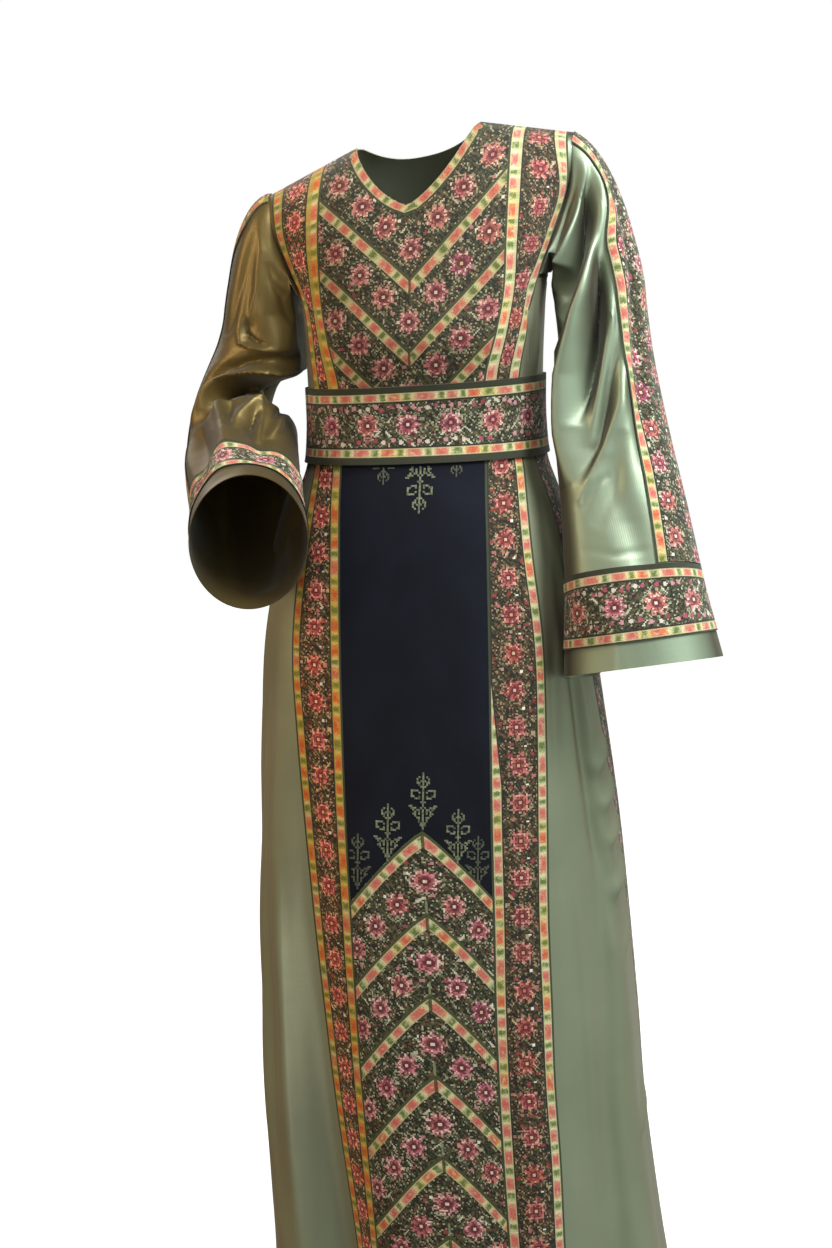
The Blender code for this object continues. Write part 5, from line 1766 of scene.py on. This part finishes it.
def sleeve_section(side, degrees, along):
    """A point of a sleeve's round form, before it is joined to the armhole."""
    read = lambda column, at: table_value(SLEEVE_ROWS[side], "along", column, at)
    middle = np.stack([read(axis, along) for axis in "xyz"], axis=-1)
    step = 0.01
    ahead = np.stack([read(axis, np.minimum(along + step, 1)) for axis in "xyz"], axis=-1)
    behind = np.stack([read(axis, np.maximum(along - step, 0)) for axis in "xyz"], axis=-1)
    path = unit(ahead - behind)
    facing = np.stack([np.zeros(np.shape(along)), read("front_y", along), read("front_z", along)], axis=-1)
    out = unit(np.cross(facing, path) if side == "l" else np.cross(path, facing))
    front = unit(np.cross(path, out) if side == "l" else np.cross(out, path))
    turn = np.radians(degrees)
    push = sleeve_push(side, degrees, along)
    wide = (read("wide", along) + push) * np.cos(turn)
    deep = (read("deep", along) + push) * np.sin(turn)
    return middle + wide[..., None] * out + deep[..., None] * front


def sleeve_point(side, degrees, along):
    """A point of a sleeve's outer surface. The angle goes round from outside (0) to the front (90)."""
    degrees, along = np.broadcast_arrays(np.asarray(degrees, float), np.asarray(along, float))
    edge, away = armhole_edge(side, degrees % 360.0)
    round_form = sleeve_section(side, degrees, along)
    start = edge + FIRST_RING_OUT * away
    share = smooth_step(0.0, SLEEVE_BLEND_END, along)[..., None]
    points = start * (1 - share) + round_form * share
    first_gap = FIRST_BODY_GAP * smooth_step(0.0, 0.035, along)
    gap = first_gap + (SLEEVE_BODY_GAP - FIRST_BODY_GAP) * smooth_step(0.05, 0.2, along)
    return keep_clear(points, gap)


def grid_normals(points, closed):
    """The outward direction at each point of a grid whose columns go round and whose rows go down."""
    if closed:
        around = np.roll(points, -1, axis=1) - np.roll(points, 1, axis=1)
        around[:, 0] = points[:, 1] - points[:, -2]
        around[:, -1] = around[:, 0]
    else:
        around = np.gradient(points, axis=1)
    return unit(np.cross(around, np.gradient(points, axis=0)))


print("sleeve at the elbow", sleeve_point("r", 90.0, 0.5).round(3))

# %% Sleeves, their bands and their cuffs
CUFF_TOP, CUFF_BOTTOM = 0.815, 0.945
BAND_THICK = 1.0 * MM
BAND_LIFT = 0.0009 + BAND_THICK


def laid_grid(side, degrees, along, lift, closed):
    """Points of a sleeve's surface, lifted off it, with columns in the order that makes faces look outwards."""
    degrees, along = np.meshgrid(degrees, along)
    if not closed:
        low, high = BAND_DEGREES[side]
        degrees = low + (degrees - low) * (band_edge(side, along) - low) / (high - low)
    points = sleeve_point(side, degrees, along)
    if side == "r":
        points = points[:, ::-1]
    return points + lift * grid_normals(points, closed)


def sleeve_sheets(side, satin, band_stitch):
    """A satin sleeve, the band down its outside and the band round its cuff."""
    degrees = np.linspace(0, 360, 169)
    points = laid_grid(side, degrees, np.linspace(0.0, 1.0, 186), 0.0, True)
    edge, away = armhole_edge(side, degrees % 360.0)
    first = (edge + SEAM_GAP * away)[None]
    points = np.concatenate([first if side == "l" else first[:, ::-1], points])
    points[:, -1] = points[:, 0]
    cloth_piece(f"sleeve_{side}", "satin", points, *measured(points), SATIN_THICK, satin, closed=True)
    along = np.linspace(0.025, CUFF_TOP - 0.002, 150)
    points = laid_grid(side, np.linspace(*BAND_DEGREES[side], 36), along, BAND_LIFT, False)
    cloth_piece(f"sleeve_band_{side}", "embroidery", points, *centred(points), BAND_THICK, band_stitch)
    points = laid_grid(side, degrees, np.linspace(CUFF_TOP, CUFF_BOTTOM, 17), BAND_LIFT, True)
    points[:, -1] = points[:, 0]
    across, down = steps(points, 1), steps(points, 0)
    weave = np.stack([np.broadcast_to(across[8:9], across.shape), down[-1:] - down], -1)
    edges = np.stack([down[-1:] - down, down], -1)
    cloth_piece(f"cuff_{side}", "embroidery", points, weave, edges, BAND_THICK, CUFF_STITCH, closed=True)


# The hanging sleeve's satin has a near-black painted shade where it turns away; the bent sleeve's copy is painted
# olive brown as warm shade.
sleeve_sheets("l", SATIN, SLEEVE_L_STITCH)
sleeve_sheets("r", SATIN_PAINTED_WARM_SHADE, SLEEVE_R_STITCH)

# %% [markdown]
# ## Finish
#
# The pieces that were made are counted against the frame's nodes.

# %% Count of pieces
print("pieces", len(PIECES), "of", len(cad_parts))
